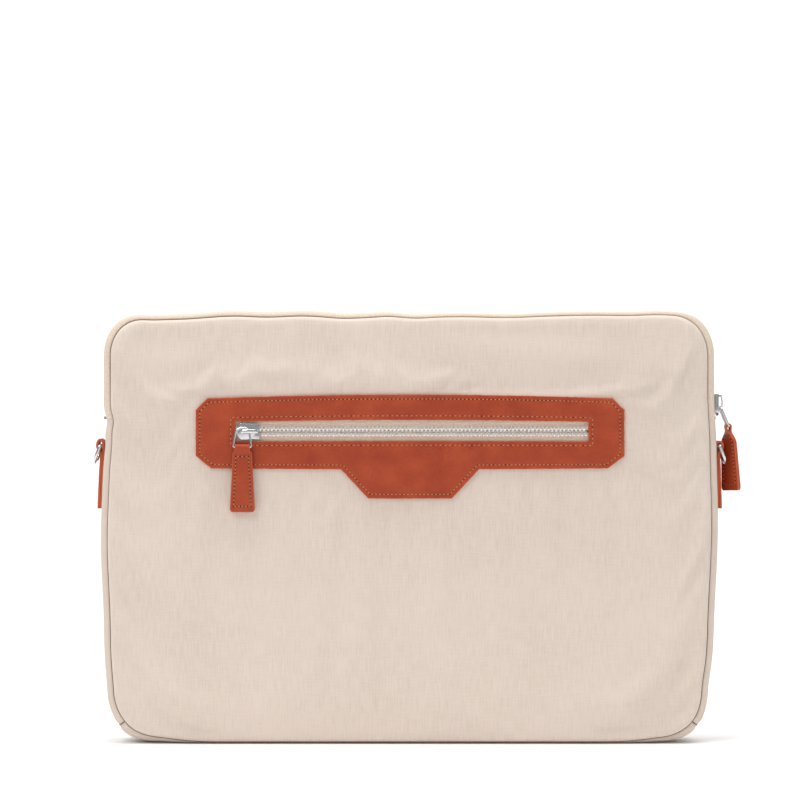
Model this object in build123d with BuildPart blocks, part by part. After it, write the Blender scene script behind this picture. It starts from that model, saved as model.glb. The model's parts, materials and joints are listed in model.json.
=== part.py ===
from build123d import *
import os
from math import acos, atan2, cos, degrees, radians, sin

# A padded canvas laptop sleeve with a zipped mouth, a zipped front pocket framed in leather,
# and a D-ring on a leather tab at each side.
#
# Frame: millimetres, +Z up, +X to the right seen from the front, front face towards -Y.
# The origin is on the ground, under the middle of the width and midway between the two seams.

# ---------------------------------------------------------------- driving dimensions
body_width = 350.0
body_height = 246.0
gusset_width = 24.0          # front seam to back seam
gusset_flat = 16.0           # flat middle of the gusset, before it rolls over to the seams
seam_inset = 4.5             # the seams lie this far inside the outer edge
top_corner = 24.0
bottom_corner = 30.0
panel_rise = 5.0             # the padded panels stand proud of their seams
panel_roll = 4.8             # radius of the rolled panel edge
zip_drop = 61.0              # top of the sleeve to both ends of the mouth zip

canvas = 0.8
foam = 4.0
lining = 0.4
pocket_cloth = 0.3
leather = 1.4
pull_leather = 1.1
binding_width = 3.0
binding_thickness = 0.9
binding_lap = 0.1            # the bindings reach this far past the seams
foam_gap = 0.3               # foam edge to the panel's roll and the seam binding

# Zips: one size of chain and slider for the mouth and the pocket.
tape_thickness = 0.6
tooth_pitch = 2.25
tooth_thickness = 2.5
tooth_width = 1.3
head_width = 0.95
head_reach = 0.45            # a head passes the middle of the chain by this much
head_root = 0.95
leg_reach = 3.1              # outer end of a tooth's legs, from the middle of the chain
tape_edge = 1.9              # edge of each tape, from the middle of the chain
tooth_clearance = 0.05
head_relief = 0.25           # heads are thinner than the teeth by this much per face
stop_width = 1.6
stop_thickness = 2.0
stop_gap = 0.2

slider_length = 13.0
slider_nose_half = 4.7
slider_tail_half = 4.35
slider_plate = 1.2
slider_shoulder = 1.0        # middle of the step from the tail's width to the nose's
nose_flat = 2.3              # half of the flat across the nose
nose_run = 1.6               # length of the nose's slant
tail_notch = 1.6
lock_hole = 1.1
slider_play = 0.15           # plates and rails to the chain and the tape
rail_play = 0.3
diamond_half = 1.6
diamond_point = -1.4         # its point, from the slider's middle
chain_start = 0.8            # first tooth past the point of the diamond
tunnel_height = 2.0          # space under the bail, where the ring passes
bail_width = 2.4
bail_thickness = 0.8
bail_post = -3.2             # nose post of the bail, from the slider's middle
bail_foot = 5.0              # tail foot of the bail
bail_foot_length = 1.6

ring_wire = 1.1
ring_play = 0.2
loop_play = 0.15
pull_length = 36.9           # from the ring's bar to the free end
pull_width = 14.4
pull_shoulder_width = 11.0
pull_shoulder = 2.2          # the shoulders start this far below the ring's bar
pull_neck = 8.4
pull_corner = 1.4
shoulder_run = 0.8

# Front pocket.
window_left = -99.6
window_right = 101.5
window_height = 11.3
window_corner = 0.8
window_drop = 67.65          # top of the sleeve to the pocket zip
canvas_window_margin = 3.0
tape_half = 14.0             # outer edge of each pocket tape
tape_overrun = 8.5           # tape past the window's ends
slider_parking = 1.0         # closed slider to the window's left end
pocket_width = 224.0
pocket_floor = 40.0
pocket_hem = 6.85            # top of the bag's front sheet below the zip
frame_half = 122.0
frame_drop = 48.0            # top of the sleeve to the top of the leather frame
frame_height = 41.0
lobe_height = 16.0
lobe_top_half = 39.3
lobe_bottom_half = 23.8
top_chamfer = 6.7
bottom_chamfer = 8.0
pocket_ring_tilt = 7.0
pocket_pull_tilt = -1.5
pocket_ring_drop = 9.05      # post to the ring's bar
pocket_ring_top_half = 3.5
pocket_ring_half = 5.25

# Mouth zip slider, at the lower end of the right-hand leg.
main_slider_lift = 8.5       # end of the zip to the middle of the slider
main_ring_tilt = 23.0
main_pull_tilt = 3.0
main_ring_length = 12.2
main_ring_half = 5.25

# Side tabs and D-rings.
tab_width = 12.6
tab_length = 36.0            # below the ring's bar
ring_bar_drop = 76.0         # top of the sleeve to the ring's bar
tab_loop_play = 0.1
tab_shoulder = 0.6           # the fold's outer face starts to slope this far below the bar
tab_edge_radius = 0.3
tab_slope_radius = 1.5
tab_fold_radius = 1.2
tab_blend = 4.0              # the two layers meet this far below the bar
d_wire = 2.0
d_play = 0.4
d_drop = 10.4                # bar to the bottom of the bow
d_bow = 6.0                  # radius of the bow's shoulders
d_bar_corner = 1.3
d_tilt = 20.0

# ---------------------------------------------------------------- derived places
half_width = body_width / 2
zip_end_height = body_height - zip_drop
window_middle = body_height - window_drop
frame_top = body_height - frame_drop
frame_bottom = frame_top - frame_height
lobe_bottom = frame_bottom - lobe_height
main_slider_height = zip_end_height + main_slider_lift
ring_bar_height = body_height - ring_bar_drop
seam_half = gusset_width / 2
panel_face = seam_half + panel_rise              # outer face of both panels, as |y|
panel_inside = panel_face - canvas
pocket_tape_front = panel_inside
window_width = window_right - window_left
pocket_tape_back = pocket_tape_front - tape_thickness
pocket_zip_plane = pocket_tape_front - tape_thickness / 2
slider_inside = tooth_thickness / 2 + slider_play
slider_outside = slider_inside + slider_plate
bag_back = pocket_zip_plane - slider_outside - 2 * rail_play
foam_front = bag_back - pocket_cloth
foam_front_inside = foam_front - foam
foam_back_inside = panel_inside - foam
binding_inner = seam_inset + canvas + binding_width
foam_inset = max(binding_inner, seam_inset + panel_roll) + foam_gap
tunnel_middle = slider_outside + tunnel_height / 2
pocket_slider_x = window_left + slider_parking + slider_length / 2
main_zip_plane = half_width - tape_thickness / 2
wire_r = ring_wire / 2
loop_inner = wire_r + loop_play
loop_outer = loop_inner + pull_leather
post_r = bail_width / 2


# ---------------------------------------------------------------- shared shapes
def rim_outline(inset):
    """Outline of the sleeve seen from the front, pulled in by inset."""
    low = bottom_corner - inset
    high = top_corner - inset
    half = half_width - inset
    with BuildLine() as outline:
        FilletPolyline(
            (-half, inset),
            (half, inset),
            (half, body_height - inset),
            (-half, body_height - inset),
            radius=[low, low, high, high],
            close=True,
        )
    make_face(outline.edges())


def slab(inset, y_from, y_to):
    """Flat layer of the sleeve's outline between two depths."""
    with BuildPart() as layer:
        with BuildSketch(Plane.XZ.offset(-y_from)):
            rim_outline(inset)
        extrude(amount=y_from - y_to)
    return layer.part


def panel_block(side, inset, rise, roll):
    """Raised panel with a rolled outer edge; side is -1 at the front and 1 at the back."""
    with BuildPart() as block:
        with BuildSketch(Plane.XZ.offset(-side * seam_half)):
            rim_outline(inset)
        extrude(amount=-side * rise)
        outer = block.edges().group_by(Axis.Y)[-1 if side > 0 else 0]
        fillet(outer, radius=roll)
    return block.part


def canvas_panel(side):
    """Canvas skin of one panel: a shallow tray whose rim meets the gusset at the seam."""
    return panel_block(side, seam_inset, panel_rise, panel_roll) - panel_block(
        side, seam_inset + canvas, panel_rise - canvas, panel_roll - canvas
    )


def station(x, z, angle, side):
    """Plane across the rim: local x points outwards, local y to the front or the back."""
    outward = (cos(radians(angle)), 0, sin(radians(angle)))
    along = (-side * sin(radians(angle)), 0, side * cos(radians(angle)))
    return Plane(origin=(x, 0, z), x_dir=outward, z_dir=along)


def band_half(thickness, edge):
    """Half of the rim's section, from edge to the seam, rolled over at its outer side."""
    roll_width = (gusset_width - gusset_flat) / 2
    roll = (seam_inset**2 + roll_width**2) / (2 * seam_inset)
    inner_roll = roll - thickness
    start = gusset_flat / 2
    outer_angle = degrees(atan2(roll_width, roll - seam_inset))
    inner_angle = degrees(acos((roll - seam_inset - thickness) / inner_roll))
    with BuildLine() as outline:
        CenterArc((-roll, start), roll, 0, outer_angle)
        turn = CenterArc((-roll, start), inner_roll, 0, inner_angle)
        Polyline((-seam_inset, seam_half), (-seam_inset - thickness, seam_half), turn @ 1)
        Polyline((-thickness, start), (-thickness, edge), (0, edge), (0, start))
    make_face(outline.edges())


def corner_point(side, angle, inset):
    """Point on a bottom corner's arc; side is -1 at the left and 1 at the right."""
    reach = bottom_corner - inset
    x = side * (half_width - bottom_corner + reach * cos(radians(angle)))
    return x, bottom_corner + reach * sin(radians(angle))


with BuildLine(Plane.XZ) as mouth_path:
    FilletPolyline(
        (-half_width, zip_end_height),
        (-half_width, body_height),
        (half_width, body_height),
        (half_width, zip_end_height),
        radius=top_corner,
    )

with BuildLine(Plane.XZ) as cradle_path:
    FilletPolyline(
        (-half_width, zip_end_height),
        (-half_width, 0),
        (half_width, 0),
        (half_width, zip_end_height),
        radius=bottom_corner,
    )

with BuildLine(Plane.XZ) as base_path:
    CenterArc((bottom_corner - half_width, bottom_corner), bottom_corner, 225, 45)
    Line((bottom_corner - half_width, 0), (half_width - bottom_corner, 0))
    CenterArc((half_width - bottom_corner, bottom_corner), bottom_corner, 270, 45)


def side_path(side):
    """From the zip's end down to the slanted seam on the bottom corner."""
    turn = 45 if side < 0 else -45
    with BuildLine(Plane.XZ) as path:
        Line((side * half_width, zip_end_height), (side * half_width, bottom_corner))
        centre = (side * (half_width - bottom_corner), bottom_corner)
        CenterArc(centre, bottom_corner, 180 if side < 0 else 0, turn)
    return path.line


# ---------------------------------------------------------------- canvas shell
with BuildPart() as back_panel:
    add(canvas_panel(1))

with BuildPart() as front_panel:
    add(canvas_panel(-1))
    with BuildSketch(Plane.XZ.offset(panel_inside)):
        with Locations(((window_left + window_right) / 2, window_middle)):
            Rectangle(
                window_width + 2 * canvas_window_margin,
                window_height + canvas_window_margin,
            )
    extrude(amount=canvas, mode=Mode.SUBTRACT)


def gusset(path, start):
    """Canvas strip between the two panels, swept along the rim."""
    with BuildPart() as strip:
        with BuildSketch(start):
            band_half(canvas, 0)
            mirror(about=Plane.XZ)
        sweep(path=path)
    return strip.part


with BuildPart() as bottom_gusset:
    add(gusset(base_path.line, station(*corner_point(-1, -45, 0), 225, 1)))

with BuildPart() as left_gusset:
    add(gusset(side_path(-1), station(-half_width, zip_end_height, 180, 1)))

with BuildPart() as right_gusset:
    add(gusset(side_path(1), station(half_width, zip_end_height, 0, 1)))


# ---------------------------------------------------------------- padding and lining
def cradle_strip(outer, inner, y_from, y_to):
    """Strip that follows the sides and the bottom, between two insets and two depths."""
    with BuildPart() as strip:
        with BuildSketch(station(-half_width, zip_end_height, 180, 1)):
            with Locations((-(outer + inner) / 2, (y_from + y_to) / 2)):
                Rectangle(inner - outer, y_to - y_from)
        sweep(path=cradle_path.line)
    return strip.part


with BuildPart() as front_foam:
    add(slab(foam_inset, -foam_front, -foam_front_inside))

with BuildPart() as back_foam:
    add(slab(foam_inset, foam_back_inside, panel_inside))

with BuildPart() as front_lining:
    add(slab(foam_inset, -foam_front_inside, lining - foam_front_inside))

with BuildPart() as back_lining:
    add(slab(foam_inset, foam_back_inside - lining, foam_back_inside))

with BuildPart() as gusset_foam:
    add(cradle_strip(canvas, foam_inset, -gusset_flat / 2, gusset_flat / 2))

with BuildPart() as gusset_lining:
    add(
        cradle_strip(
            foam_inset,
            foam_inset + lining,
            lining - foam_front_inside,
            foam_back_inside - lining,
        )
    )


def seam_binding(side):
    """Tape that binds the raw edges along one seam, all the way round inside."""
    middle = side * (seam_half + binding_lap - binding_thickness / 2)
    with BuildPart() as ring:
        add(slab(seam_inset + canvas, middle - binding_thickness / 2, middle + binding_thickness / 2))
        add(
            slab(binding_inner, middle - binding_thickness, middle + binding_thickness),
            mode=Mode.SUBTRACT,
        )
    return ring.part


with BuildPart() as front_seam_binding:
    add(seam_binding(-1))

with BuildPart() as back_seam_binding:
    add(seam_binding(1))


# ---------------------------------------------------------------- zip chain
def tooth_block(width, thickness, reach, near):
    """Metal clamp on the tape's edge: local x along the chain, y across it, z outwards."""
    far = leg_reach
    slot = tape_thickness + 2 * tooth_clearance
    with BuildPart() as block:
        with BuildSketch(Plane.YZ):
            with Locations(((near + far) / 2, 0)):
                Rectangle(far - near, thickness)
            with Locations(((tape_edge - tooth_clearance + far) / 2, 0)):
                Rectangle(far - tape_edge + tooth_clearance, slot, mode=Mode.SUBTRACT)
        extrude(amount=width / 2, both=True)
        if reach < near:
            with BuildSketch(Plane.YZ):
                with Locations(((reach + near) / 2, 0)):
                    Rectangle(near - reach, thickness - 2 * head_relief)
            extrude(amount=head_width / 2, both=True)
    return block.part


back_tooth = tooth_block(tooth_width, tooth_thickness, -head_reach, head_root)
front_tooth = mirror(back_tooth, about=Plane.XZ)
back_stop = tooth_block(stop_width, stop_thickness, stop_gap, stop_gap)
front_stop = mirror(back_stop, about=Plane.XZ)
half_stop = tooth_block(stop_width, stop_thickness, 0, 0)
end_stop = half_stop + mirror(half_stop, about=Plane.XZ)


def spread(piece, places):
    """One node of separate copies of a piece."""
    with BuildPart() as row:
        with Locations(*places):
            add(piece)
    return row.part


def pocket_place(x):
    """Place on the pocket chain: local x to the right, local y up, local z outwards."""
    return Location(Plane(origin=(x, -pocket_zip_plane, window_middle), x_dir=(1, 0, 0), z_dir=(0, -1, 0)))


mouth_wire = mouth_path.wires()[0]


def mouth_place(distance):
    """Place on the mouth chain: local x along it, local y to the back, local z outwards."""
    point = mouth_wire.position_at(distance, position_mode=PositionMode.LENGTH)
    along = mouth_wire.tangent_at(distance, position_mode=PositionMode.LENGTH)
    outward = along.cross(Vector(0, 1, 0))
    return Location(Plane(origin=point - outward * (tape_thickness / 2), x_dir=along, z_dir=outward))


def steps(first, last):
    """Positions one pitch apart, from first up to last."""
    count = int((last - first) / tooth_pitch) + 1
    return [first + tooth_pitch * i for i in range(count)]


pocket_first = pocket_slider_x + diamond_point + chain_start + tooth_width / 2
pocket_last = window_right - stop_gap - tooth_width / 2
near_half = steps(pocket_first, pocket_last)
far_half = steps(pocket_first + tooth_pitch / 2, pocket_last)

with BuildPart() as pocket_teeth_upper:
    add(spread(back_tooth, [pocket_place(x) for x in near_half]))

with BuildPart() as pocket_teeth_lower:
    add(spread(front_tooth, [pocket_place(x) for x in far_half]))

mouth_first = stop_gap + stop_width + stop_gap + tooth_width
slider_rise = main_slider_height - zip_end_height
mouth_last = mouth_wire.length - slider_rise - diamond_point - chain_start - tooth_width / 2

with BuildPart() as main_teeth_front:
    add(spread(front_tooth, [mouth_place(s) for s in steps(mouth_first, mouth_last)]))

with BuildPart() as main_teeth_back:
    half_pitch_on = mouth_first + tooth_pitch / 2
    add(spread(back_tooth, [mouth_place(s) for s in steps(half_pitch_on, mouth_last)]))

with BuildPart() as pocket_zip_stops:
    left_stop_x = window_left - stop_gap - stop_width / 2
    add(spread(back_stop, [pocket_place(left_stop_x)]))
    add(spread(front_stop, [pocket_place(left_stop_x)]))
    add(spread(end_stop, [pocket_place(window_right + stop_gap + stop_width / 2)]))

with BuildPart() as main_zip_stops:
    stop_place = stop_gap + stop_width / 2
    right_stop = mouth_wire.length - stop_place
    add(spread(back_stop, [mouth_place(right_stop)]))
    add(spread(front_stop, [mouth_place(right_stop)]))
    add(spread(end_stop, [mouth_place(stop_place)]))


def mouth_tape(side):
    """Half of the mouth zip's tape, from the chain to the seam."""
    with BuildPart() as tape:
        with BuildSketch(station(-half_width, zip_end_height, 180, side)):
            band_half(tape_thickness, tape_edge)
        sweep(path=mouth_path.line)
    return tape.part


with BuildPart() as main_tape_front:
    add(mouth_tape(-1))

with BuildPart() as main_tape_back:
    add(mouth_tape(1))


def pocket_tape(side):
    """Half of the pocket zip's tape; side is 1 above the chain and -1 below it."""
    low, high = sorted((side * tape_edge, side * tape_half))
    with BuildPart() as tape:
        with BuildSketch(Plane.XZ.offset(pocket_tape_back)):
            with Locations(((window_left + window_right) / 2, window_middle + (low + high) / 2)):
                Rectangle(window_width + 2 * tape_overrun, high - low)
        extrude(amount=tape_thickness)
    return tape.part


with BuildPart() as pocket_tape_upper:
    add(pocket_tape(1))

with BuildPart() as pocket_tape_lower:
    add(pocket_tape(-1))


# ---------------------------------------------------------------- sliders
def slider_outline():
    """Plan of a slider plate: nose at -x, tail at +x."""
    end = slider_length / 2
    step = nose_run / 3
    nose = nose_run / 1.6
    tail = 0.6 * nose
    with BuildLine() as outline:
        FilletPolyline(
            (end, -slider_tail_half),
            (end, slider_tail_half),
            (slider_shoulder + step, slider_tail_half),
            (slider_shoulder - step, slider_nose_half),
            (-end + nose_run, slider_nose_half),
            (-end, nose_flat),
            (-end, -nose_flat),
            (-end + nose_run, -slider_nose_half),
            (slider_shoulder - step, -slider_nose_half),
            (slider_shoulder + step, -slider_tail_half),
            radius=[tail] * 4 + [nose] * 4 + [tail] * 2,
            close=True,
        )
    make_face(outline.edges())


def slider_body(place):
    """Two plates joined by the diamond at the nose, with rails either side of the tape."""
    rail_gap = tape_thickness / 2 + slider_play + tooth_clearance
    rail_inside = leg_reach + rail_play
    end = slider_length / 2
    with BuildPart() as body:
        for side in (1, -1):
            with BuildSketch(place.offset(side * slider_inside)):
                slider_outline()
            extrude(amount=side * slider_plate)
            with BuildSketch(place.offset(side * rail_gap)):
                slider_outline()
                Rectangle(slider_length, 2 * rail_inside, mode=Mode.SUBTRACT)
            extrude(amount=side * (slider_inside - rail_gap))
        with BuildSketch(place.offset(-slider_inside)):
            with BuildLine():
                Polyline(
                    (-end + slider_play, diamond_half / 2),
                    (-end + nose_run, diamond_half),
                    (diamond_point, 0),
                    (-end + nose_run, -diamond_half),
                    (-end + slider_play, -diamond_half / 2),
                    close=True,
                )
            make_face()
        extrude(amount=2 * slider_inside)
        with BuildSketch(place.offset(slider_inside)):
            with Locations((bail_foot - bail_foot_length - lock_hole / 2, 0)):
                Circle(lock_hole / 2)
            with Locations((end, 0)):
                Rectangle(tail_notch, tail_notch)
        extrude(amount=slider_plate, mode=Mode.SUBTRACT)
    return body.part


def slider_bail(place):
    """Strap over the top plate, on a round nose post and a square tail foot."""
    foot_end = bail_foot + bail_foot_length / 2
    with BuildPart() as bail:
        with BuildSketch(place.offset(slider_outside)):
            with Locations((bail_post, 0)):
                Circle(post_r)
            with Locations((bail_foot, 0)):
                Rectangle(bail_foot_length, bail_width)
        extrude(amount=tunnel_height)
        with BuildSketch(place.offset(slider_outside + tunnel_height)):
            with Locations((bail_post, 0)):
                Circle(post_r)
            with Locations(((bail_post + foot_end) / 2, 0)):
                Rectangle(foot_end - bail_post, bail_width)
        extrude(amount=bail_thickness)
    return bail.part


pocket_slider_plane = Plane(
    origin=(pocket_slider_x, -pocket_zip_plane, window_middle), x_dir=(1, 0, 0), z_dir=(0, -1, 0)
)
main_slider_plane = Plane(
    origin=(main_zip_plane, 0, main_slider_height), x_dir=(0, 0, 1), z_dir=(1, 0, 0)
)

with BuildPart() as pocket_slider_body:
    add(slider_body(pocket_slider_plane))

with BuildPart() as pocket_slider_bail:
    add(slider_bail(pocket_slider_plane))

with BuildPart() as main_slider_body:
    add(slider_body(main_slider_plane))

with BuildPart() as main_slider_bail:
    add(slider_bail(main_slider_plane))


# ---------------------------------------------------------------- rings and pulls
def wire_loop(place, top, bottom, top_half, bottom_half, top_radius, bottom_radius, wire):
    """Closed loop of round wire in the plane, with its bar at the bottom."""
    with BuildPart() as loop:
        with BuildLine(place) as path:
            FilletPolyline(
                (-bottom_half, bottom),
                (bottom_half, bottom),
                (top_half, top),
                (-top_half, top),
                radius=[bottom_radius, bottom_radius, top_radius, top_radius],
                close=True,
            )
        route = path.wires()[0]
        with BuildSketch(Plane(origin=route @ 0, z_dir=route % 0)):
            Circle(wire / 2)
        sweep(path=route)
    return loop.part


def hanging_pull(place):
    """Folded leather strip: a loop round the bar, then two layers down to the free end.

    Local x is the width, local y points up along the pull and local z outwards.
    """
    side_view = Plane(origin=place.origin, x_dir=place.z_dir, z_dir=place.x_dir)
    with BuildPart() as pull:
        with BuildSketch(side_view):
            Circle(loop_outer)
            with Locations((0, pull_length / 2)):
                Rectangle(2 * pull_leather, pull_length)
            Circle(loop_inner, mode=Mode.SUBTRACT)
        extrude(amount=pull_width / 2, both=True)
        with BuildSketch(place):
            with BuildLine():
                Polyline(
                    (pull_neck / 2, loop_outer),
                    (pull_neck / 2, -pull_shoulder),
                    (pull_shoulder_width / 2, -pull_shoulder - shoulder_run),
                    (pull_width / 2, pull_corner - pull_length),
                    (pull_width / 2 - pull_corner / 2, -pull_length),
                    (pull_corner / 2 - pull_width / 2, -pull_length),
                    (-pull_width / 2, pull_corner - pull_length),
                    (-pull_shoulder_width / 2, -pull_shoulder - shoulder_run),
                    (-pull_neck / 2, -pull_shoulder),
                    (-pull_neck / 2, loop_outer),
                    close=True,
                )
            make_face()
        extrude(amount=2 * loop_outer, both=True, mode=Mode.INTERSECT)
    return pull.part


def tilted_plane(origin, width, outward, tilt):
    """Plane of something that hangs down and leans outwards by tilt degrees."""
    lean = radians(tilt)
    up = Vector(0, 0, 1) * cos(lean) - outward * sin(lean)
    return Plane(origin=origin, x_dir=width, z_dir=width.cross(up))


to_right = Vector(1, 0, 0)
to_front = Vector(0, -1, 0)
to_back = Vector(0, 1, 0)

# The pocket ring hangs round the nose post, on the pin of the bail.
pocket_post = Vector(
    pocket_slider_x + bail_post, -(pocket_zip_plane + tunnel_middle), window_middle
)
pocket_ring_plane = tilted_plane(pocket_post, to_right, to_front, pocket_ring_tilt)
pocket_bar = pocket_ring_plane.from_local_coords(Vector(0, -pocket_ring_drop, 0))

with BuildPart() as pocket_pull_ring:
    add(
        wire_loop(
            pocket_ring_plane,
            post_r + ring_play + wire_r,
            -pocket_ring_drop,
            pocket_ring_top_half,
            pocket_ring_half,
            pocket_ring_top_half - ring_wire / 10,
            ring_wire,
            ring_wire,
        )
    )

with BuildPart() as pocket_pull_leather:
    add(hanging_pull(tilted_plane(pocket_bar, to_right, to_front, pocket_pull_tilt)))

# The mouth ring lies across the tunnel, just above the nose post.
main_pin = Vector(
    main_zip_plane + tunnel_middle, 0, main_slider_height + bail_post + post_r + ring_play + wire_r
)
main_ring_plane = tilted_plane(main_pin, to_back, to_right, main_ring_tilt)
main_bar = main_ring_plane.from_local_coords(Vector(0, -main_ring_length, 0))

with BuildPart() as main_pull_ring:
    add(
        wire_loop(
            main_ring_plane,
            0,
            -main_ring_length,
            main_ring_half,
            main_ring_half,
            main_ring_half / 2,
            ring_wire,
            ring_wire,
        )
    )

with BuildPart() as main_pull_leather:
    add(hanging_pull(tilted_plane(main_bar, to_back, to_right, main_pull_tilt)))


# ---------------------------------------------------------------- leather pocket frame
with BuildPart() as pocket_leather_frame:
    with BuildSketch(Plane.XZ.offset(panel_face)):
        with BuildLine():
            Polyline(
                (-frame_half + top_chamfer, frame_top),
                (frame_half - top_chamfer, frame_top),
                (frame_half, frame_top - top_chamfer),
                (frame_half, frame_bottom + bottom_chamfer),
                (frame_half - bottom_chamfer, frame_bottom),
                (lobe_top_half, frame_bottom),
                (lobe_bottom_half, lobe_bottom),
                (-lobe_bottom_half, lobe_bottom),
                (-lobe_top_half, frame_bottom),
                (-frame_half + bottom_chamfer, frame_bottom),
                (-frame_half, frame_bottom + bottom_chamfer),
                (-frame_half, frame_top - top_chamfer),
                close=True,
            )
        make_face()
        with Locations(((window_left + window_right) / 2, window_middle)):
            RectangleRounded(window_width, window_height, window_corner, mode=Mode.SUBTRACT)
    extrude(amount=leather)


# ---------------------------------------------------------------- pocket bag
bag_middle = (pocket_floor + window_middle + tape_half - pocket_cloth) / 2
bag_height = window_middle + tape_half - pocket_cloth - pocket_floor
bag_depth = pocket_tape_back - bag_back

with BuildPart() as pocket_bag_back:
    with BuildSketch(Plane.XZ.offset(bag_back - pocket_cloth)):
        with Locations((0, bag_middle)):
            Rectangle(pocket_width, bag_height)
    extrude(amount=pocket_cloth + bag_depth)
    with BuildSketch(Plane.XZ.offset(bag_back)):
        with Locations((0, bag_middle)):
            Rectangle(pocket_width - 2 * pocket_cloth, bag_height - 2 * pocket_cloth)
    extrude(amount=bag_depth, mode=Mode.SUBTRACT)

with BuildPart() as pocket_bag_front:
    hem_height = window_middle - pocket_hem
    sheet_floor = pocket_floor + pocket_cloth
    with BuildSketch(Plane.XZ.offset(pocket_tape_back - pocket_cloth)):
        with Locations((0, (hem_height + sheet_floor) / 2)):
            Rectangle(pocket_width - 2 * pocket_cloth, hem_height - sheet_floor)
    extrude(amount=pocket_cloth)


# ---------------------------------------------------------------- side tabs and D-rings
tab_loop_inner = d_wire / 2 + tab_loop_play
tab_loop_outer = tab_loop_inner + leather
bar_out = tab_loop_outer + tab_loop_play
d_half = tab_width / 2 + d_play + d_wire / 2


def side_tab(side):
    """Leather strip folded over the D-ring's bar and sewn flat on the gusset."""
    fold = tab_loop_outer - tab_loop_play / 2
    profile = Plane(
        origin=(side * half_width, 0, ring_bar_height), x_dir=(side, 0, 0), z_dir=(0, -side, 0)
    )
    with BuildPart() as tab:
        with BuildSketch(profile):
            with BuildLine():
                FilletPolyline(
                    (0, -tab_length),
                    (2 * leather, -tab_length),
                    (2 * leather, -tab_blend),
                    (bar_out + tab_loop_outer, -tab_shoulder),
                    (bar_out + tab_loop_outer, tab_loop_outer),
                    (0, tab_loop_outer),
                    radius=[tab_edge_radius] * 2 + [tab_slope_radius, tab_fold_radius] + [fold] * 2,
                    close=True,
                )
            make_face()
            with Locations((bar_out, 0)):
                Circle(tab_loop_inner, mode=Mode.SUBTRACT)
        extrude(amount=tab_width / 2, both=True)
    return tab.part


def d_ring(side):
    """D-ring with its straight bar in the tab's fold and its bow hanging outside the tab."""
    outward = to_right * side
    pivot = Vector(side * (half_width + bar_out), 0, ring_bar_height)
    hang = tilted_plane(pivot, to_back, outward, d_tilt)
    return wire_loop(hang, 0, -d_drop, d_half, d_half, d_bar_corner, d_bow, d_wire)


with BuildPart() as left_tab_leather:
    add(side_tab(-1))

with BuildPart() as right_tab_leather:
    add(side_tab(1))

with BuildPart() as left_d_ring:
    add(d_ring(-1))

with BuildPart() as right_d_ring:
    add(d_ring(1))


# ---------------------------------------------------------------- export
nodes = {
    "front_panel": front_panel,
    "back_panel": back_panel,
    "bottom_gusset": bottom_gusset,
    "left_gusset": left_gusset,
    "right_gusset": right_gusset,
    "front_foam": front_foam,
    "back_foam": back_foam,
    "gusset_foam": gusset_foam,
    "front_lining": front_lining,
    "back_lining": back_lining,
    "gusset_lining": gusset_lining,
    "front_seam_binding": front_seam_binding,
    "back_seam_binding": back_seam_binding,
    "main_tape_front": main_tape_front,
    "main_tape_back": main_tape_back,
    "main_teeth_front": main_teeth_front,
    "main_teeth_back": main_teeth_back,
    "main_zip_stops": main_zip_stops,
    "main_slider_body": main_slider_body,
    "main_slider_bail": main_slider_bail,
    "main_pull_ring": main_pull_ring,
    "main_pull_leather": main_pull_leather,
    "pocket_leather_frame": pocket_leather_frame,
    "pocket_tape_upper": pocket_tape_upper,
    "pocket_tape_lower": pocket_tape_lower,
    "pocket_teeth_upper": pocket_teeth_upper,
    "pocket_teeth_lower": pocket_teeth_lower,
    "pocket_zip_stops": pocket_zip_stops,
    "pocket_slider_body": pocket_slider_body,
    "pocket_slider_bail": pocket_slider_bail,
    "pocket_pull_ring": pocket_pull_ring,
    "pocket_pull_leather": pocket_pull_leather,
    "pocket_bag_front": pocket_bag_front,
    "pocket_bag_back": pocket_bag_back,
    "left_tab_leather": left_tab_leather,
    "right_tab_leather": right_tab_leather,
    "left_d_ring": left_d_ring,
    "right_d_ring": right_d_ring,
}

os.makedirs("parts", exist_ok=True)
for name, piece in nodes.items():
    piece.part.label = name
    export_step(piece.part, f"parts/{name}.step")
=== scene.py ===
import json
import math
import random

import bmesh
import bpy
from mathutils import Matrix, Vector, noise
from mathutils.geometry import delaunay_2d_cdt


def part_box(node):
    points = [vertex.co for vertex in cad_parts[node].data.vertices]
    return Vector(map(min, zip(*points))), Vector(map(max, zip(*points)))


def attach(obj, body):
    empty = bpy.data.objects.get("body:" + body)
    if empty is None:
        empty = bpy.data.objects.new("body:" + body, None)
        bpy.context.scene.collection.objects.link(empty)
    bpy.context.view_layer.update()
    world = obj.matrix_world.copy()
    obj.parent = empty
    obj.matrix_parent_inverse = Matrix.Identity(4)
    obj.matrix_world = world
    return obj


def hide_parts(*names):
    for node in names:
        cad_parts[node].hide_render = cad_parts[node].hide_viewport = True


# A padded canvas laptop sleeve with a leather-framed zip pocket. Metres, in the CAD model's frame.
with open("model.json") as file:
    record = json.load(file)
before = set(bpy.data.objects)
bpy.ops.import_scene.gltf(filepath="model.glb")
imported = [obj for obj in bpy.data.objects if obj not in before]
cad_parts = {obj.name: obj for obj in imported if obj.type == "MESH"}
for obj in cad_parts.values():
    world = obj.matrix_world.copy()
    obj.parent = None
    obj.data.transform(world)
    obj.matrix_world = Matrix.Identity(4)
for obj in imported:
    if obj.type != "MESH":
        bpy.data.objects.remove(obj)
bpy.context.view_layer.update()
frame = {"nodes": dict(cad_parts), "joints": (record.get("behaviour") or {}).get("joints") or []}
random.seed(11)
MM = 0.001

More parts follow.
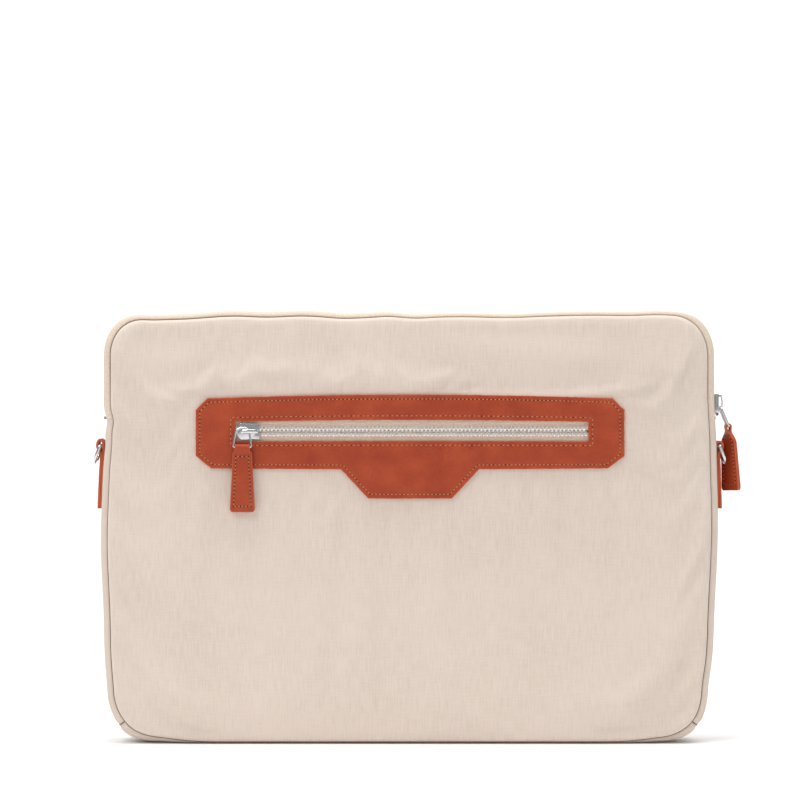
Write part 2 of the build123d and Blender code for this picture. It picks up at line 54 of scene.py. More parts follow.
# -------- places taken from the frame
joints = {joint["name"]: joint for joint in frame["joints"]}
half_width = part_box("main_tape_front")[1][0]
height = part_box("main_tape_front")[1][2]
zip_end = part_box("main_tape_front")[0][2]
seam_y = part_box("back_panel")[0][1]
panel_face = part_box("back_panel")[1][1]
seam_inset = half_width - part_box("front_panel")[1][0]
frame_low = Vector(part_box("pocket_leather_frame")[0])
frame_high = Vector(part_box("pocket_leather_frame")[1])
pocket_low = Vector(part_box("pocket_slider_body")[0])
pocket_high = Vector(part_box("pocket_slider_body")[1])
pocket_zip = (pocket_low + pocket_high) / 2
main_zip = (Vector(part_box("main_slider_body")[0]) + Vector(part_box("main_slider_body")[1])) / 2
top_radius = 24 * MM
bottom_radius = 30 * MM
gusset_flat = 8 * MM
leather = 1.4 * MM
window_left = -99.6 * MM
window_right = 101.5 * MM
window_half_height = 5.65 * MM
tooth_pitch = 2.25 * MM


def smooth(value, low, high):
    """0 below low, 1 above high, and a smooth step between."""
    t = min(max((value - low) / (high - low), 0.0), 1.0)
    return t * t * (3 - 2 * t)


def bell(value, middle, spread):
    return math.exp(-(((value - middle) / spread) ** 2))


# -------- the rim
leg = height - top_radius - zip_end
top_arc = math.pi / 2 * top_radius
bottom_arc = math.pi / 2 * bottom_radius
top_run = 2 * (half_width - top_radius)
side_run = height - top_radius - bottom_radius
base_run = 2 * (half_width - bottom_radius)
mouth_length = 2 * leg + 2 * top_arc + top_run
rim_length = 2 * side_run + 2 * top_arc + top_run + 2 * bottom_arc + base_run


def rim(s):
    """Point (x, z) and outward direction on the outer edge; s runs up the left leg from the zip's end,
    over the top, down the right, under the base and back."""
    s = s % rim_length
    top_x, top_z = half_width - top_radius, height - top_radius
    base_x, base_z = half_width - bottom_radius, bottom_radius

    def arc(centre_x, centre_z, radius, a):
        return centre_x + radius * math.cos(a), centre_z + radius * math.sin(a), math.cos(a), math.sin(a)

    if s < leg:
        return -half_width, zip_end + s, -1.0, 0.0
    s -= leg
    if s < top_arc:
        return arc(-top_x, top_z, top_radius, math.pi - s / top_radius)
    s -= top_arc
    if s < top_run:
        return -top_x + s, height, 0.0, 1.0
    s -= top_run
    if s < top_arc:
        return arc(top_x, top_z, top_radius, math.pi / 2 - s / top_radius)
    s -= top_arc
    if s < side_run:
        return half_width, top_z - s, 1.0, 0.0
    s -= side_run
    if s < bottom_arc:
        return arc(base_x, base_z, bottom_radius, -s / bottom_radius)
    s -= bottom_arc
    if s < base_run:
        return base_x - s, 0.0, 0.0, -1.0
    s -= base_run
    if s < bottom_arc:
        return arc(-base_x, base_z, bottom_radius, -math.pi / 2 - s / bottom_radius)
    s -= bottom_arc
    return -half_width, bottom_radius + s, -1.0, 0.0


def top_wave(x):
    """How far the mouth zip stands up or sags along the top."""
    bumps = (
        # middle, spread, rise; all in millimetres
        (-148, 12, -1.3), (-130, 12, -0.8), (-100, 14, 0.9), (-62, 14, 1.0), (-37, 9, -0.5), (-13, 8, 0.7),
        (5, 9, -0.5), (55, 18, -0.9), (105, 22, 0.5), (142, 12, 0.8),
    )
    return sum(rise * bell(x / MM, middle, spread) for middle, spread, rise in bumps) * MM


base_hang = 0.755  # share of its height by which the seam hangs over the base


def soften(p):
    """The soft shell's departures from its plain outline: bulging sides, pinched lower corners, a wavy top,
    seams that ride up over the mouth zip and hang low over the base."""
    x, y, z = p
    side = 1 if x > 0 else -1
    off_middle = smooth(abs(y), 3 * MM, seam_y)
    if side < 0:
        bulge = 1.9 * bell(z, 112 * MM, 37 * MM) - 2.0 * bell(z, 25 * MM, 19 * MM)
        bulge -= 0.5 * bell(z, 80 * MM, 30 * MM)
        bulge += 3.2 * bell(z, 1 * MM, 8 * MM)
        bulge -= 1.6 * bell(z, 184 * MM, 5 * MM) + 1.0 * bell(z, 172 * MM, 11 * MM)
    else:
        bulge = 1.1 * bell(z, 125 * MM, 32 * MM) - 4.3 * bell(z, 26 * MM, 20 * MM)
        bulge -= 1.2 * bell(z, 62 * MM, 30 * MM)
        bulge += 0.8 * bell(z, 1 * MM, 8 * MM) - 1.1 * smooth(z, 170 * MM, 200 * MM)
    x += side * bulge * MM * smooth(abs(x), 118 * MM, 172 * MM)
    x += side * 0.5 * MM * smooth(abs(p[0]), 150 * MM, 171 * MM) * off_middle
    hang = 1 - smooth(abs(x), 110 * MM, 172 * MM)
    if z < seam_inset:
        z -= base_hang * z * hang
    else:
        z -= base_hang * seam_inset * hang * (1 - smooth(z, seam_inset, 40 * MM))
    z += 1.2 * MM * smooth(abs(x), 122 * MM, 158 * MM) * (1 - smooth(z, 4 * MM, 30 * MM))
    lift = 1.5 + 0.9 * smooth(x, -20 * MM, 60 * MM)
    z += lift * MM * smooth(p[2], 222 * MM, height - seam_inset) * off_middle
    z += smooth(p[2], 212 * MM, height) * top_wave(p[0])
    z -= (0.6 + 0.6 * smooth(x, -35 * MM, 0)) * MM * smooth(p[2], height - seam_inset, height)
    return Vector((x, y, z))


# -------- mesh helpers
def new_piece(name, verts, faces, material, uvs=None, smooth_faces=True):
    mesh = bpy.data.meshes.new(name)
    mesh.from_pydata([tuple(v) for v in verts], [], faces)
    if uvs:
        layer = mesh.uv_layers.new(name="UVMap")
        for loop in mesh.loops:
            layer.data[loop.index].uv = uvs[loop.vertex_index]
    mesh.polygons.foreach_set("use_smooth", [smooth_faces] * len(mesh.polygons))
    piece = bpy.data.objects.new(name, mesh)
    bpy.context.scene.collection.objects.link(piece)
    mesh.materials.append(material)
    return piece


def mend(piece, weld=False, flatten=False):
    """Turns all faces outwards. Doubled points may be welded first, and flat faces joined last."""
    mesh = bmesh.new()
    mesh.from_mesh(piece.data)
    if weld:
        bmesh.ops.remove_doubles(mesh, verts=mesh.verts, dist=1e-6)
    bmesh.ops.recalc_face_normals(mesh, faces=mesh.faces)
    if flatten:
        bmesh.ops.dissolve_limit(mesh, angle_limit=0.02, verts=mesh.verts, edges=mesh.edges)
    mesh.to_mesh(piece.data)
    mesh.free()


def give(piece, body, slot, *nodes):
    """Puts a piece on its body and hides the CAD nodes that it stands for. The slot is not used."""
    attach(piece, body)
    if nodes:
        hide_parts(*nodes)
    return piece


def add_bevel(piece, width, segments=3, angle=40):
    bevel = piece.modifiers.new("bevel", "BEVEL")
    bevel.width = width
    bevel.segments = segments
    bevel.limit_method = "ANGLE"
    bevel.angle_limit = math.radians(angle)


def add_thickness(piece, depth, offset=-1):
    sheet = piece.modifiers.new("thickness", "SOLIDIFY")
    sheet.thickness = depth
    sheet.offset = offset
    sheet.use_even_offset = True


def metres(points):
    """Outline given in millimetres."""
    return [(x * MM, y * MM) for x, y in points]


def circle(x, radius, count):
    """Round outline whose middle is at x on the first axis."""
    angles = [2 * math.pi * k / count for k in range(count)]
    return [(x + radius * math.cos(a), radius * math.sin(a)) for a in angles]


def bands(rings, sides, closed=False):
    """Faces between rings of points laid one after another; closed joins the last ring to the first."""
    faces = []
    for i in range(rings if closed else rings - 1):
        here, there = i * sides, (i + 1) % rings * sides
        for k in range(sides):
            after = (k + 1) % sides
            faces.append((here + k, here + after, there + after, there + k))
    return faces


def caps(rings, sides):
    """The two end faces of such a row of rings."""
    last = (rings - 1) * sides
    return [tuple(range(sides))[::-1], tuple(range(last, last + sides))]


def rounded(points, radii, turns=8):
    """Closed 2-D outline with each corner rounded to its own radius."""
    out = []
    count = len(points)
    for i, radius in enumerate(radii):
        corner = Vector(points[i])
        before = (Vector(points[i - 1]) - corner).normalized()
        after = (Vector(points[(i + 1) % count]) - corner).normalized()
        half = before.angle(after) / 2
        reach = radius / math.tan(half)
        centre = corner + (before + after).normalized() * radius / math.sin(half)
        start, end = corner + before * reach - centre, corner + after * reach - centre
        sweep = start.angle_signed(end)
        for k in range(turns + 1):
            a = -sweep * k / turns
            c, s = math.cos(a), math.sin(a)
            out.append((centre.x + start.x * c - start.y * s, centre.y + start.x * s + start.y * c))
    return out


def resampled(outline, step):
    """Closed outline cut into even steps, keeping its corners."""
    out = []
    for i, here in enumerate(outline):
        there = outline[(i + 1) % len(outline)]
        a, b = Vector(here), Vector(there)
        parts = max(1, round((b - a).length / step))
        out += [tuple(a.lerp(b, k / parts)) for k in range(parts)]
    return out


def inside(point, outline):
    x, y = point
    odd = False
    for (x1, y1), (x2, y2) in zip(outline, outline[1:] + outline[:1]):
        if (y1 > y) != (y2 > y) and x < (x2 - x1) * (y - y1) / (y2 - y1) + x1:
            odd = not odd
    return odd


def flat_mesh(loops, extra, holes=()):
    """Triangles that fill the first loop, less the holes; extra points lie inside."""
    points, edges = [], []
    for loop in loops:
        base = len(points)
        points += [Vector(p) for p in loop]
        edges += [(base + i, base + (i + 1) % len(loop)) for i in range(len(loop))]
    points += [Vector(p) for p in extra]
    verts, _, faces, *_ = delaunay_2d_cdt(points, edges, [], 1, 1e-7)
    kept = []
    for face in faces:
        middle = sum((verts[i] for i in face), Vector((0, 0))) / len(face)
        if not any(inside(middle, hole) for hole in holes):
            kept.append(face)
    used = sorted({i for face in kept for i in face})
    order = {old: new for new, old in enumerate(used)}
    return [verts[i] for i in used], [tuple(order[i] for i in face) for face in kept]


def tube(points, across, radius, sides=14):
    """Closed ring of round wire; across is the normal of the ring's plane. Returns verts and faces."""
    verts = []
    count = len(points)
    for i, p in enumerate(points):
        along = (points[(i + 1) % count] - points[i - 1]).normalized()
        outward = along.cross(across)
        for k in range(sides):
            a = 2 * math.pi * k / sides
            verts.append(p + outward * radius * math.cos(a) + across * radius * math.sin(a))
    return verts, [(a, d, c, b) for a, b, c, d in bands(count, sides, closed=True)]


class Heap:
    """Many small solids gathered into one piece."""

    def __init__(self):
        self.verts = []
        self.faces = []

    def add(self, verts, faces, place=None):
        base = len(self.verts)
        self.verts += [place @ Vector(v) if place else Vector(v) for v in verts]
        self.faces += [tuple(i + base for i in face) for face in faces]

    def piece(self, name, material, smooth_faces=True):
        return new_piece(name, self.verts, self.faces, material, smooth_faces=smooth_faces)


def place(origin, x_dir, z_dir):
    """Matrix of a local frame with the given x and z directions."""
    x, z = Vector(x_dir).normalized(), Vector(z_dir).normalized()
    y = z.cross(x)
    m = Matrix((x, y, z)).transposed().to_4x4()
    m.translation = Vector(origin)
    return m


# -------- materials
class Shader:
    """Short calls for building one node material."""

    def __init__(self, name, roughness=0.5, metallic=0.0, sheen=0.0, specular=0.5):
        self.material = bpy.data.materials.new(name)
        self.material.use_nodes = True
        self.tree = self.material.node_tree
        self.bsdf = self.tree.nodes["Principled BSDF"]
        self.bsdf.inputs["Roughness"].default_value = roughness
        self.bsdf.inputs["Metallic"].default_value = metallic
        self.bsdf.inputs["Sheen Weight"].default_value = sheen
        self.bsdf.inputs["Specular IOR Level"].default_value = specular

    def put(self, socket, value):
        if isinstance(value, (int, float, tuple)):
            socket.default_value = value
        else:
            self.tree.links.new(value, socket)

    def node(self, kind, output, inputs, **settings):
        """Adds a node, sets or links its inputs and gives back one output."""
        node = self.tree.nodes.new(kind)
        for key, value in settings.items():
            setattr(node, key, value)
        for key, value in inputs.items():
            self.put(node.inputs[key], value)
        return node.outputs[output]

    def math(self, operation, *values):
        return self.node("ShaderNodeMath", 0, dict(enumerate(values)), operation=operation)

    def coordinates(self, kind):
        return self.node("ShaderNodeTexCoord", kind, {})

    def scaled(self, vector, scale):
        return self.node("ShaderNodeVectorMath", 0, {0: vector, 1: scale}, operation="MULTIPLY")

    def split(self, vector):
        node = self.tree.nodes.new("ShaderNodeSeparateXYZ")
        self.put(node.inputs[0], vector)
        return node.outputs

    def noise(self, vector, scale, detail=2.0):
        return self.node("ShaderNodeTexNoise", "Fac", {"Vector": vector, "Scale": scale, "Detail": detail})

    def cells(self, vector, scale):
        inputs = {"Vector": vector, "Scale": scale}
        return self.node("ShaderNodeTexVoronoi", "Distance", inputs, feature="DISTANCE_TO_EDGE")

    def between(self, value, low, high, to_low=0.0, to_high=1.0):
        return self.node("ShaderNodeMapRange", 0, dict(enumerate((value, low, high, to_low, to_high))))

    def colour(self, share, first, second):
        first, second = [(*tint, 1.0) if isinstance(tint, tuple) else tint for tint in (first, second)]
        return self.node("ShaderNodeMix", 2, {0: share, 6: first, 7: second}, data_type="RGBA")

    def attribute(self, name):
        return self.node("ShaderNodeAttribute", "Fac", {}, attribute_name=name)

    def bump(self, height, distance, strength=1.0, under=None):
        inputs = {"Height": height, "Distance": distance, "Strength": strength}
        if under:
            inputs["Normal"] = under
        return self.node("ShaderNodeBump", 0, inputs)

    def set(self, **sockets):
        for name, value in sockets.items():
            self.put(self.bsdf.inputs[name.replace("_", " ")], value)
        return self.material


def weave(shader, uv, warp, weft):
    """Height of a plain weave, 0 to 1, from surface coordinates in millimetres."""
    u, v, _ = shader.split(uv)
    across = shader.math("DIVIDE", u, warp)
    along = shader.math("DIVIDE", v, weft)
    cell = shader.math("ADD", shader.math("FLOOR", across), shader.math("FLOOR", along))
    over = shader.math("PINGPONG", cell, 1.0)
    warp_round = shader.math("SINE", shader.math("MULTIPLY", shader.math("FRACT", across), math.pi))
    weft_round = shader.math("SINE", shader.math("MULTIPLY", shader.math("FRACT", along), math.pi))
    up = shader.math("MULTIPLY", over, warp_round)
    return shader.math("ADD", up, shader.math("MULTIPLY", shader.math("SUBTRACT", 1.0, over), weft_round))


def cloth(name, light, dark, warp=0.62, weft=0.55, depth=0.14, slub=0.5, roughness=0.86, sheen=0.12):
    """Woven cloth: thread relief, uneven yarn and faint soiling. UVs are in metres."""
    shader = Shader(name, roughness=roughness, sheen=sheen, specular=0.25)
    uv = shader.scaled(shader.coordinates("UV"), (1000, 1000, 1000))
    threads = weave(shader, uv, warp, weft)
    yarn = shader.noise(shader.scaled(uv, (1.4, 0.10, 1)), 1.0, 3.0)
    pick = shader.noise(shader.scaled(uv, (0.10, 1.4, 1)), 1.0, 3.0)
    patch = shader.noise(uv, 0.02, 3.0)
    pick_share = shader.math("MULTIPLY", pick, slub * 0.5)
    uneven = shader.math("ADD", shader.math("MULTIPLY", yarn, slub), pick_share)
    tone = shader.math("ADD", shader.math("MULTIPLY", threads, 0.35), uneven)
    tone = shader.math("ADD", tone, shader.math("MULTIPLY", patch, 0.35))
    tint = shader.colour(shader.between(tone, 0.25, 1.05), dark, light)
    relief = shader.bump(shader.math("ADD", threads, shader.math("MULTIPLY", uneven, 0.8)), depth * MM, 0.6)
    return shader.set(Base_Color=tint, Normal=relief)


def tape_cloth(name, light, dark):
    """Zip tape: narrow slanting ribs."""
    shader = Shader(name, roughness=0.8, sheen=0.1, specular=0.25)
    uv = shader.scaled(shader.coordinates("UV"), (1000, 1000, 1000))
    u, v, _ = shader.split(uv)
    fold = shader.math("PINGPONG", v, 1.6)
    slant = shader.math("SINE", shader.math("MULTIPLY", shader.math("ADD", u, fold), 2 * math.pi / 0.9))
    yarn = shader.noise(uv, 0.9, 3.0)
    tone = shader.math("ADD", shader.math("MULTIPLY", slant, 0.22), yarn)
    tint = shader.colour(shader.between(tone, 0.2, 0.85), dark, light)
    return shader.set(Base_Color=tint, Normal=shader.bump(slant, 0.10 * MM, 0.6))


def hide(name):
    """Cognac leather: mottled dye, fine grain, pale worn edges."""
    shader = Shader(name, roughness=0.5, specular=0.3)
    space = shader.coordinates("Object")
    blotch = shader.noise(space, 90.0, 4.0)
    speck = shader.noise(space, 900.0, 3.0)
    grain = shader.cells(space, 1500.0)
    tone = shader.math("ADD", shader.math("MULTIPLY", blotch, 0.7), shader.math("MULTIPLY", speck, 0.4))
    tint = shader.colour(shader.between(tone, 0.35, 0.75), (0.325, 0.040, 0.013), (0.455, 0.071, 0.023))
    wear = shader.math("ADD", shader.attribute("wear"), shader.math("MULTIPLY", speck, 0.5))
    worn = shader.between(wear, 0.7, 1.5)
    tint = shader.colour(worn, tint, (0.58, 0.14, 0.06))
    pores = shader.bump(shader.between(grain, 0.0, 0.25), 0.05 * MM, 0.5)
    relief = shader.bump(blotch, 0.5 * MM, 0.25, under=pores)
    rough = shader.between(speck, 0.3, 0.7, 0.42, 0.6)
    return shader.set(Base_Color=tint, Roughness=rough, Normal=relief)


def plated(name, tint, low, high):
    """Nickel plate with faint rubbing marks."""
    shader = Shader(name, metallic=1.0)
    space = shader.coordinates("Object")
    rub = shader.noise(shader.scaled(space, (1, 1, 4)), 500.0, 4.0)
    scuff = shader.noise(space, 2500.0, 2.0)
    shade = shader.colour(rub, tuple(0.86 * c for c in tint), tint)
    rough = shader.between(rub, 0.3, 0.7, low, high)
    return shader.set(Base_Color=shade, Roughness=rough, Normal=shader.bump(scuff, 0.01 * MM, 0.3))


def twisted_cord(name, light, dark):
    """Twisted cord: sewing thread, and with the dark seam tints the painted seam shade."""
    shader = Shader(name, roughness=0.6, sheen=0.2)
    space = shader.coordinates("Object")
    x, y, z = shader.split(shader.scaled(space, (1000, 1000, 1000)))
    slant = shader.math("ADD", shader.math("ADD", x, y), z)
    twist = shader.math("SINE", shader.math("MULTIPLY", slant, 14.0))
    fuzz = shader.noise(space, 1800.0, 2.0)
    tint = shader.colour(shader.math("MULTIPLY", fuzz, 1.2), dark, light)
    return shader.set(Base_Color=tint, Normal=shader.bump(twist, 0.05 * MM, 0.5))


def hole_shade(name):
    """Painted shade: the dark inside of a needle hole or of the slider's lock hole."""
    shader = Shader(name, roughness=0.9, specular=0.1)
    speck = shader.noise(shader.coordinates("Object"), 1500.0, 2.0)
    return shader.set(Base_Color=shader.colour(speck, (0.018, 0.004, 0.003), (0.04, 0.009, 0.005)))


def solid_cloth(name, light, dark, scale):
    """Plain cloth or foam without surface coordinates."""
    shader = Shader(name, roughness=0.9, sheen=0.1, specular=0.2)
    space = shader.coordinates("Object")
    fleck = shader.noise(space, scale, 4.0)
    cell = shader.cells(space, scale * 0.8)
    tint = shader.colour(shader.between(fleck, 0.3, 0.7), dark, light)
    return shader.set(Base_Color=tint, Normal=shader.bump(cell, 0.15 * MM, 0.5))


canvas = cloth("canvas_weave", (0.84, 0.72, 0.63), (0.58, 0.48, 0.39), depth=0.18, slub=0.7)
gusset_canvas = cloth("gusset_weave", (0.82, 0.70, 0.61), (0.64, 0.52, 0.43))
zip_tape = tape_cloth("zip_tape_rib", (0.92, 0.78, 0.66), (0.70, 0.56, 0.44))
binding = cloth("binding_weave", (0.50, 0.42, 0.34), (0.38, 0.31, 0.25), warp=0.5, weft=0.4)
cognac = hide("cognac_leather")
nickel = plated("nickel_plate", (0.74, 0.74, 0.75), 0.10, 0.22)
tooth_metal = plated("zip_tooth_metal", (0.92, 0.90, 0.88), 0.22, 0.38)
thread = twisted_cord("tan_thread", (0.66, 0.27, 0.11), (0.42, 0.13, 0.045))
# The seam line's dark brown is painted shade: the seam's shadowed gap laid on as a cord.
seam_shade_cord = twisted_cord("seam_shade_cord", (0.21, 0.13, 0.08), (0.12, 0.07, 0.042))
# The near-black of the needle holes and the lock hole is painted shade.
hole = hole_shade("stitch_hole_shade")
lining_cloth = solid_cloth("lining_cloth", (0.46, 0.38, 0.31), (0.36, 0.30, 0.24), 1400.0)
foam_sheet = solid_cloth("foam_cells", (0.72, 0.72, 0.70), (0.60, 0.60, 0.58), 700.0)
pocket_cotton = solid_cloth("pocket_cotton", (0.66, 0.58, 0.49), (0.55, 0.48, 0.40), 1600.0)


# -------- canvas panels
rise = panel_face - seam_y
roll_width = 3.0 * MM
foam_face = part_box("back_foam")[1][1]
canvas_sheet = 0.6 * MM
canvas_clear = 0.75 * MM  # least distance of the back canvas's outer face from its foam
gusset_sheet = 0.8 * MM
tape_sheet = 0.6 * MM


def seam_depth(x, z):
    """How far a point lies inside the panel's seam."""
    low, high = seam_inset, height - seam_inset
    radius = (top_radius if z > height / 2 else bottom_radius) - seam_inset
    centre_x = half_width - seam_inset - radius
    centre_z = high - radius if z > height / 2 else low + radius
    beyond = (z - centre_z) if z > height / 2 else (centre_z - z)
    if abs(x) > centre_x and beyond > 0:
        return radius - math.hypot(abs(x) - centre_x, beyond)
    return min(half_width - seam_inset - abs(x), z - low, high - z)


def frame_gap(x, z):
    """Distance from the leather frame's box, 0 inside it."""
    dx = max(frame_low.x - x, x - frame_high.x, 0)
    lobe = abs(x) < 40 * MM
    low = frame_low.z if lobe else frame_low.z + 16 * MM
    dz = max(low - z, z - frame_high.z, 0)
    return math.hypot(dx, dz)


front_folds = (
    # x, z, length, width, slope in degrees, height; all in millimetres
    (40, 229, 150, 9, -2, 0.8),
    (95, 207, 90, 8, 4, -0.5),
    (-120, 222, 40, 9, 35, 0.5),
    (-164, 150, 14, 3.0, 0, 0.7),
    (-166, 190, 10, 3.5, 5, 0.5),
    (163, 108, 11, 3.0, 55, 0.8),
    (150, 62, 40, 7, 68, 0.7),
    (160, 44, 30, 5, 80, -0.6),
    (138, 215, 32, 7, 40, 0.7),
    (-150, 40, 34, 8, 110, 0.4),
)
back_folds = (
    (-60, 205, 120, 14, 5, 0.7),
    (70, 120, 90, 16, -25, 0.6),
    (-130, 60, 60, 12, 50, 0.6),
    (140, 190, 40, 9, -40, 0.4),
)


def panel_rise(x, z, side):
    """How far the canvas stands out from the seam's plane."""
    depth = seam_depth(x, z)
    if depth <= 0:
        return 0.0
    share = min(depth / roll_width, 1.0)
    roll = math.sqrt(max(0.0, 1 - (1 - share) ** 2))
    firm = 0.68 if side < 0 else 0.9
    out = rise * (firm * roll + (1 - firm) * smooth(depth, 1.5 * MM, 26 * MM))
    free = smooth(depth, 3 * MM, 40 * MM)
    if side < 0:
        free *= smooth(frame_gap(x, z), 1 * MM, 26 * MM)
    lump = noise.noise(Vector((x * 14, z * 14, 3.0 * side)))
    lump += 0.5 * noise.noise(Vector((x * 34, z * 34, side)))
    out += free * (0.4 + 0.7 * lump) * MM
    near = smooth(depth, 1.0 * MM, 9 * MM)
    if side < 0:
        near *= smooth(frame_gap(x, z), 0, 6 * MM)
    for fold_x, fold_z, length, width, slope, fold in front_folds if side < 0 else back_folds:
        dx, dz = x / MM - fold_x, z / MM - fold_z
        c, s = math.cos(math.radians(slope)), math.sin(math.radians(slope))
        along, across = dx * c + dz * s, dz * c - dx * s
        out += near * fold * MM * bell(along, 0, length / 2) * bell(across, 0, width)
    return out


def settle(piece, held, cap):
    """Lets the canvas buckle and hang between its stitched edges, as cloth that is slightly too large."""
    group = piece.vertex_groups.new(name="held")
    group.add(held, 1.0, "REPLACE")
    modifier = piece.modifiers.new("settle", "CLOTH")
    rules = modifier.settings
    rules.vertex_group_mass = group.name
    rules.quality = 5
    rules.mass = 0.2
    rules.tension_stiffness = 25
    rules.compression_stiffness = 25
    rules.shear_stiffness = 10
    rules.bending_stiffness = 6
    rules.air_damping = 3
    rules.shrink_min = -0.006
    modifier.collision_settings.use_collision = False
    last_frame = 22
    modifier.point_cache.frame_end = last_frame
    scene = bpy.context.scene
    for number in range(1, last_frame + 1):
        scene.frame_set(number)
    settled = piece.evaluated_get(bpy.context.evaluated_depsgraph_get())
    moves = [after.co - before.co for after, before in zip(settled.data.vertices, piece.data.vertices)]
    piece.modifiers.remove(modifier)
    piece.vertex_groups.remove(group)
    scene.frame_set(1)
    for vert, move in zip(piece.data.vertices, moves):
        if move.length > cap:
            move = move * (cap / move.length)
        vert.co += move


def canvas_panel(name, node, side):
    """Padded canvas face, rolled over to its seam all round."""
    stations = 520
    ring_turns = 6
    loops, extra = [], []
    for k in range(ring_turns):
        inset = seam_inset + roll_width * (1 - math.cos(math.pi / 2 * k / ring_turns))
        ring = []
        for i in range(stations):
            x, z, nx, nz = rim(rim_length * i / stations)
            ring.append((x - nx * inset, z - nz * inset))
        if k == 0:
            loops.append(ring)
        else:
            extra += ring
    cut = []
    if side < 0:
        left, right = window_left - 3 * MM, window_right + 3 * MM
        low, high = pocket_zip.z - window_half_height - MM, pocket_zip.z + window_half_height + MM
        cut = resampled([(left, low), (right, low), (right, high), (left, high)], 2.5 * MM)
        loops.append(cut)
    step = 2.6 * MM
    columns, rows = 74, 110
    for i in range(-columns, columns + 1):
        for j in range(rows):
            x, z = (i + 0.5 * (j % 2)) * step, j * step * 0.9
            in_cut = cut and left - MM < x < right + MM and low - MM < z < high + MM
            if seam_depth(x, z) > roll_width and not in_cut:
                extra.append((x, z))
    flat, faces = flat_mesh(loops, extra, [cut] if cut else [])
    verts = [soften((p.x, side * (seam_y + panel_rise(p.x, p.y, side)), p.y)) for p in flat]
    if side > 0:
        faces = [face[::-1] for face in faces]
    piece = new_piece(name, verts, faces, canvas, uvs=[(p.x + 0.5, p.y) for p in flat])
    held = []
    for i, p in enumerate(flat):
        near_frame = side < 0 and frame_gap(p.x, p.y) < 2 * MM
        if seam_depth(p.x, p.y) < roll_width + 0.5 * MM or near_frame:
            held.append(i)
    settle(piece, held, cap=1.0 * MM)
    if side > 0:
        for vert, p in zip(piece.data.vertices, flat):
            if seam_depth(p.x, p.y) > roll_width:
                vert.co.y = max(vert.co.y, foam_face + canvas_clear)
    add_thickness(piece, canvas_sheet)
    give(piece, "sleeve", "canvas", node)
    return piece


canvas_panel("front_canvas", "front_panel", -1)
canvas_panel("back_canvas", "back_panel", 1)


# -------- strips along the rim
right_corner = mouth_length + (zip_end - bottom_radius) + bottom_arc / 2
left_corner = right_corner + bottom_arc + base_run
corner_seams = (right_corner, left_corner)


def rim_strip(name, start, end, outline, material, step=2.0 * MM):
    """Strip swept along the rim; outline is a closed list of (outward, depth) in metres."""
    stations = max(2, round((end - start) / step) + 1)
    widths = [0.0]
    for a, b in zip(outline, outline[1:]):
        widths.append(widths[-1] + math.dist(a, b))
    verts, uvs = [], []
    for i in range(stations):
        s = start + (end - start) * i / (stations - 1)
        x, z, nx, nz = rim(s)
        tuck = 0.6 * MM * sum(bell(s, corner, 2.2 * MM) for corner in corner_seams)
        for (out, y), width in zip(outline, widths):
            out -= tuck
            verts.append(soften((x + nx * out, y, z + nz * out)))
            uvs.append((width, s))
    faces = bands(stations, len(outline))
    closed = abs(end - start - rim_length) < MM
    if not closed:
        faces += caps(stations, len(outline))
    piece = new_piece(name, verts, faces, material, uvs=uvs)
    mend(piece, weld=closed)
    return piece


gusset_half = seam_y - gusset_flat
gusset_roll = (seam_inset**2 + gusset_half**2) / (2 * seam_inset)


def rolled_outline(side, near, thickness, steps=7):
    """Section from near the middle out to the seam on one side, as outer then inner points."""
    reach = math.atan2(gusset_half, gusset_roll - seam_inset)
    flat_steps = 4
    outer, inner = [], []
    for k in range(flat_steps):
        y = near + (gusset_flat - near) * k / flat_steps
        outer.append((0.0, side * y))
        inner.append((-thickness, side * y))
    for k in range(steps + 1):
        a = reach * k / steps
        for radius, row in ((gusset_roll, outer), (gusset_roll - thickness, inner)):
            row.append((radius * math.cos(a) - gusset_roll, side * (gusset_flat + radius * math.sin(a))))
    return outer, inner


def gusset_outline(thickness):
    """Whole section of the gusset, from seam to seam."""
    front_outer, front_inner = rolled_outline(-1, 0.0, thickness)
    back_outer, back_inner = rolled_outline(1, 0.0, thickness)
    return front_outer[::-1] + back_outer[1:] + back_inner[::-1] + front_inner[1:]


gussets = (
    ("right_side_canvas", "right_gusset", mouth_length, right_corner),
    ("base_canvas", "bottom_gusset", right_corner, left_corner),
    ("left_side_canvas", "left_gusset", left_corner, rim_length),
)
for name, node, start, end in gussets:
    strip = rim_strip(name, start, end, gusset_outline(gusset_sheet), gusset_canvas, step=1.5 * MM)
    give(strip, "sleeve", "canvas", node)

tape_edge = 1.9 * MM
mouth_tapes = (("mouth_tape_front", "main_tape_front", -1), ("mouth_tape_back", "main_tape_back", 1))
for name, node, side in mouth_tapes:
    outer, inner = rolled_outline(side, tape_edge, tape_sheet)
    strip = rim_strip(name, 0.0, mouth_length, outer + inner[::-1], zip_tape, step=1.5 * MM)
    give(strip, "sleeve", "zip_tape", node)


def cord(points, widths, sides=8):
    """Open or closed thin cord through points, as verts and faces; closed when its ends meet."""
    verts = []
    closed = (points[0] - points[-1]).length < 3 * MM
    count = len(points)
    for i, p in enumerate(points):
        after = points[(i + 1) % count] if closed else points[min(i + 1, count - 1)]
        before = points[i - 1] if closed or i else points[0]
        along = (after - before).normalized()
        side_way = along.cross(Vector((0.3, 1, 0.2))).normalized()
        up = side_way.cross(along)
        for k in range(sides):
            a = 2 * math.pi * k / sides
            verts.append(p + (side_way * math.cos(a) + up * math.sin(a)) * widths[i])
    return verts, bands(count, sides, closed) + ([] if closed else caps(count, sides))


def seam_shade_strength(x, z):
    """How wide the painted seam shade line shows: most round the upper left and the lower corners."""
    upper_left = (1 - smooth(x, -90 * MM, 40 * MM)) * smooth(z, 190 * MM, 215 * MM)
    low = 0.8 * (1 - smooth(z, 70 * MM, 150 * MM))
    return max(upper_left, low, 0.2)
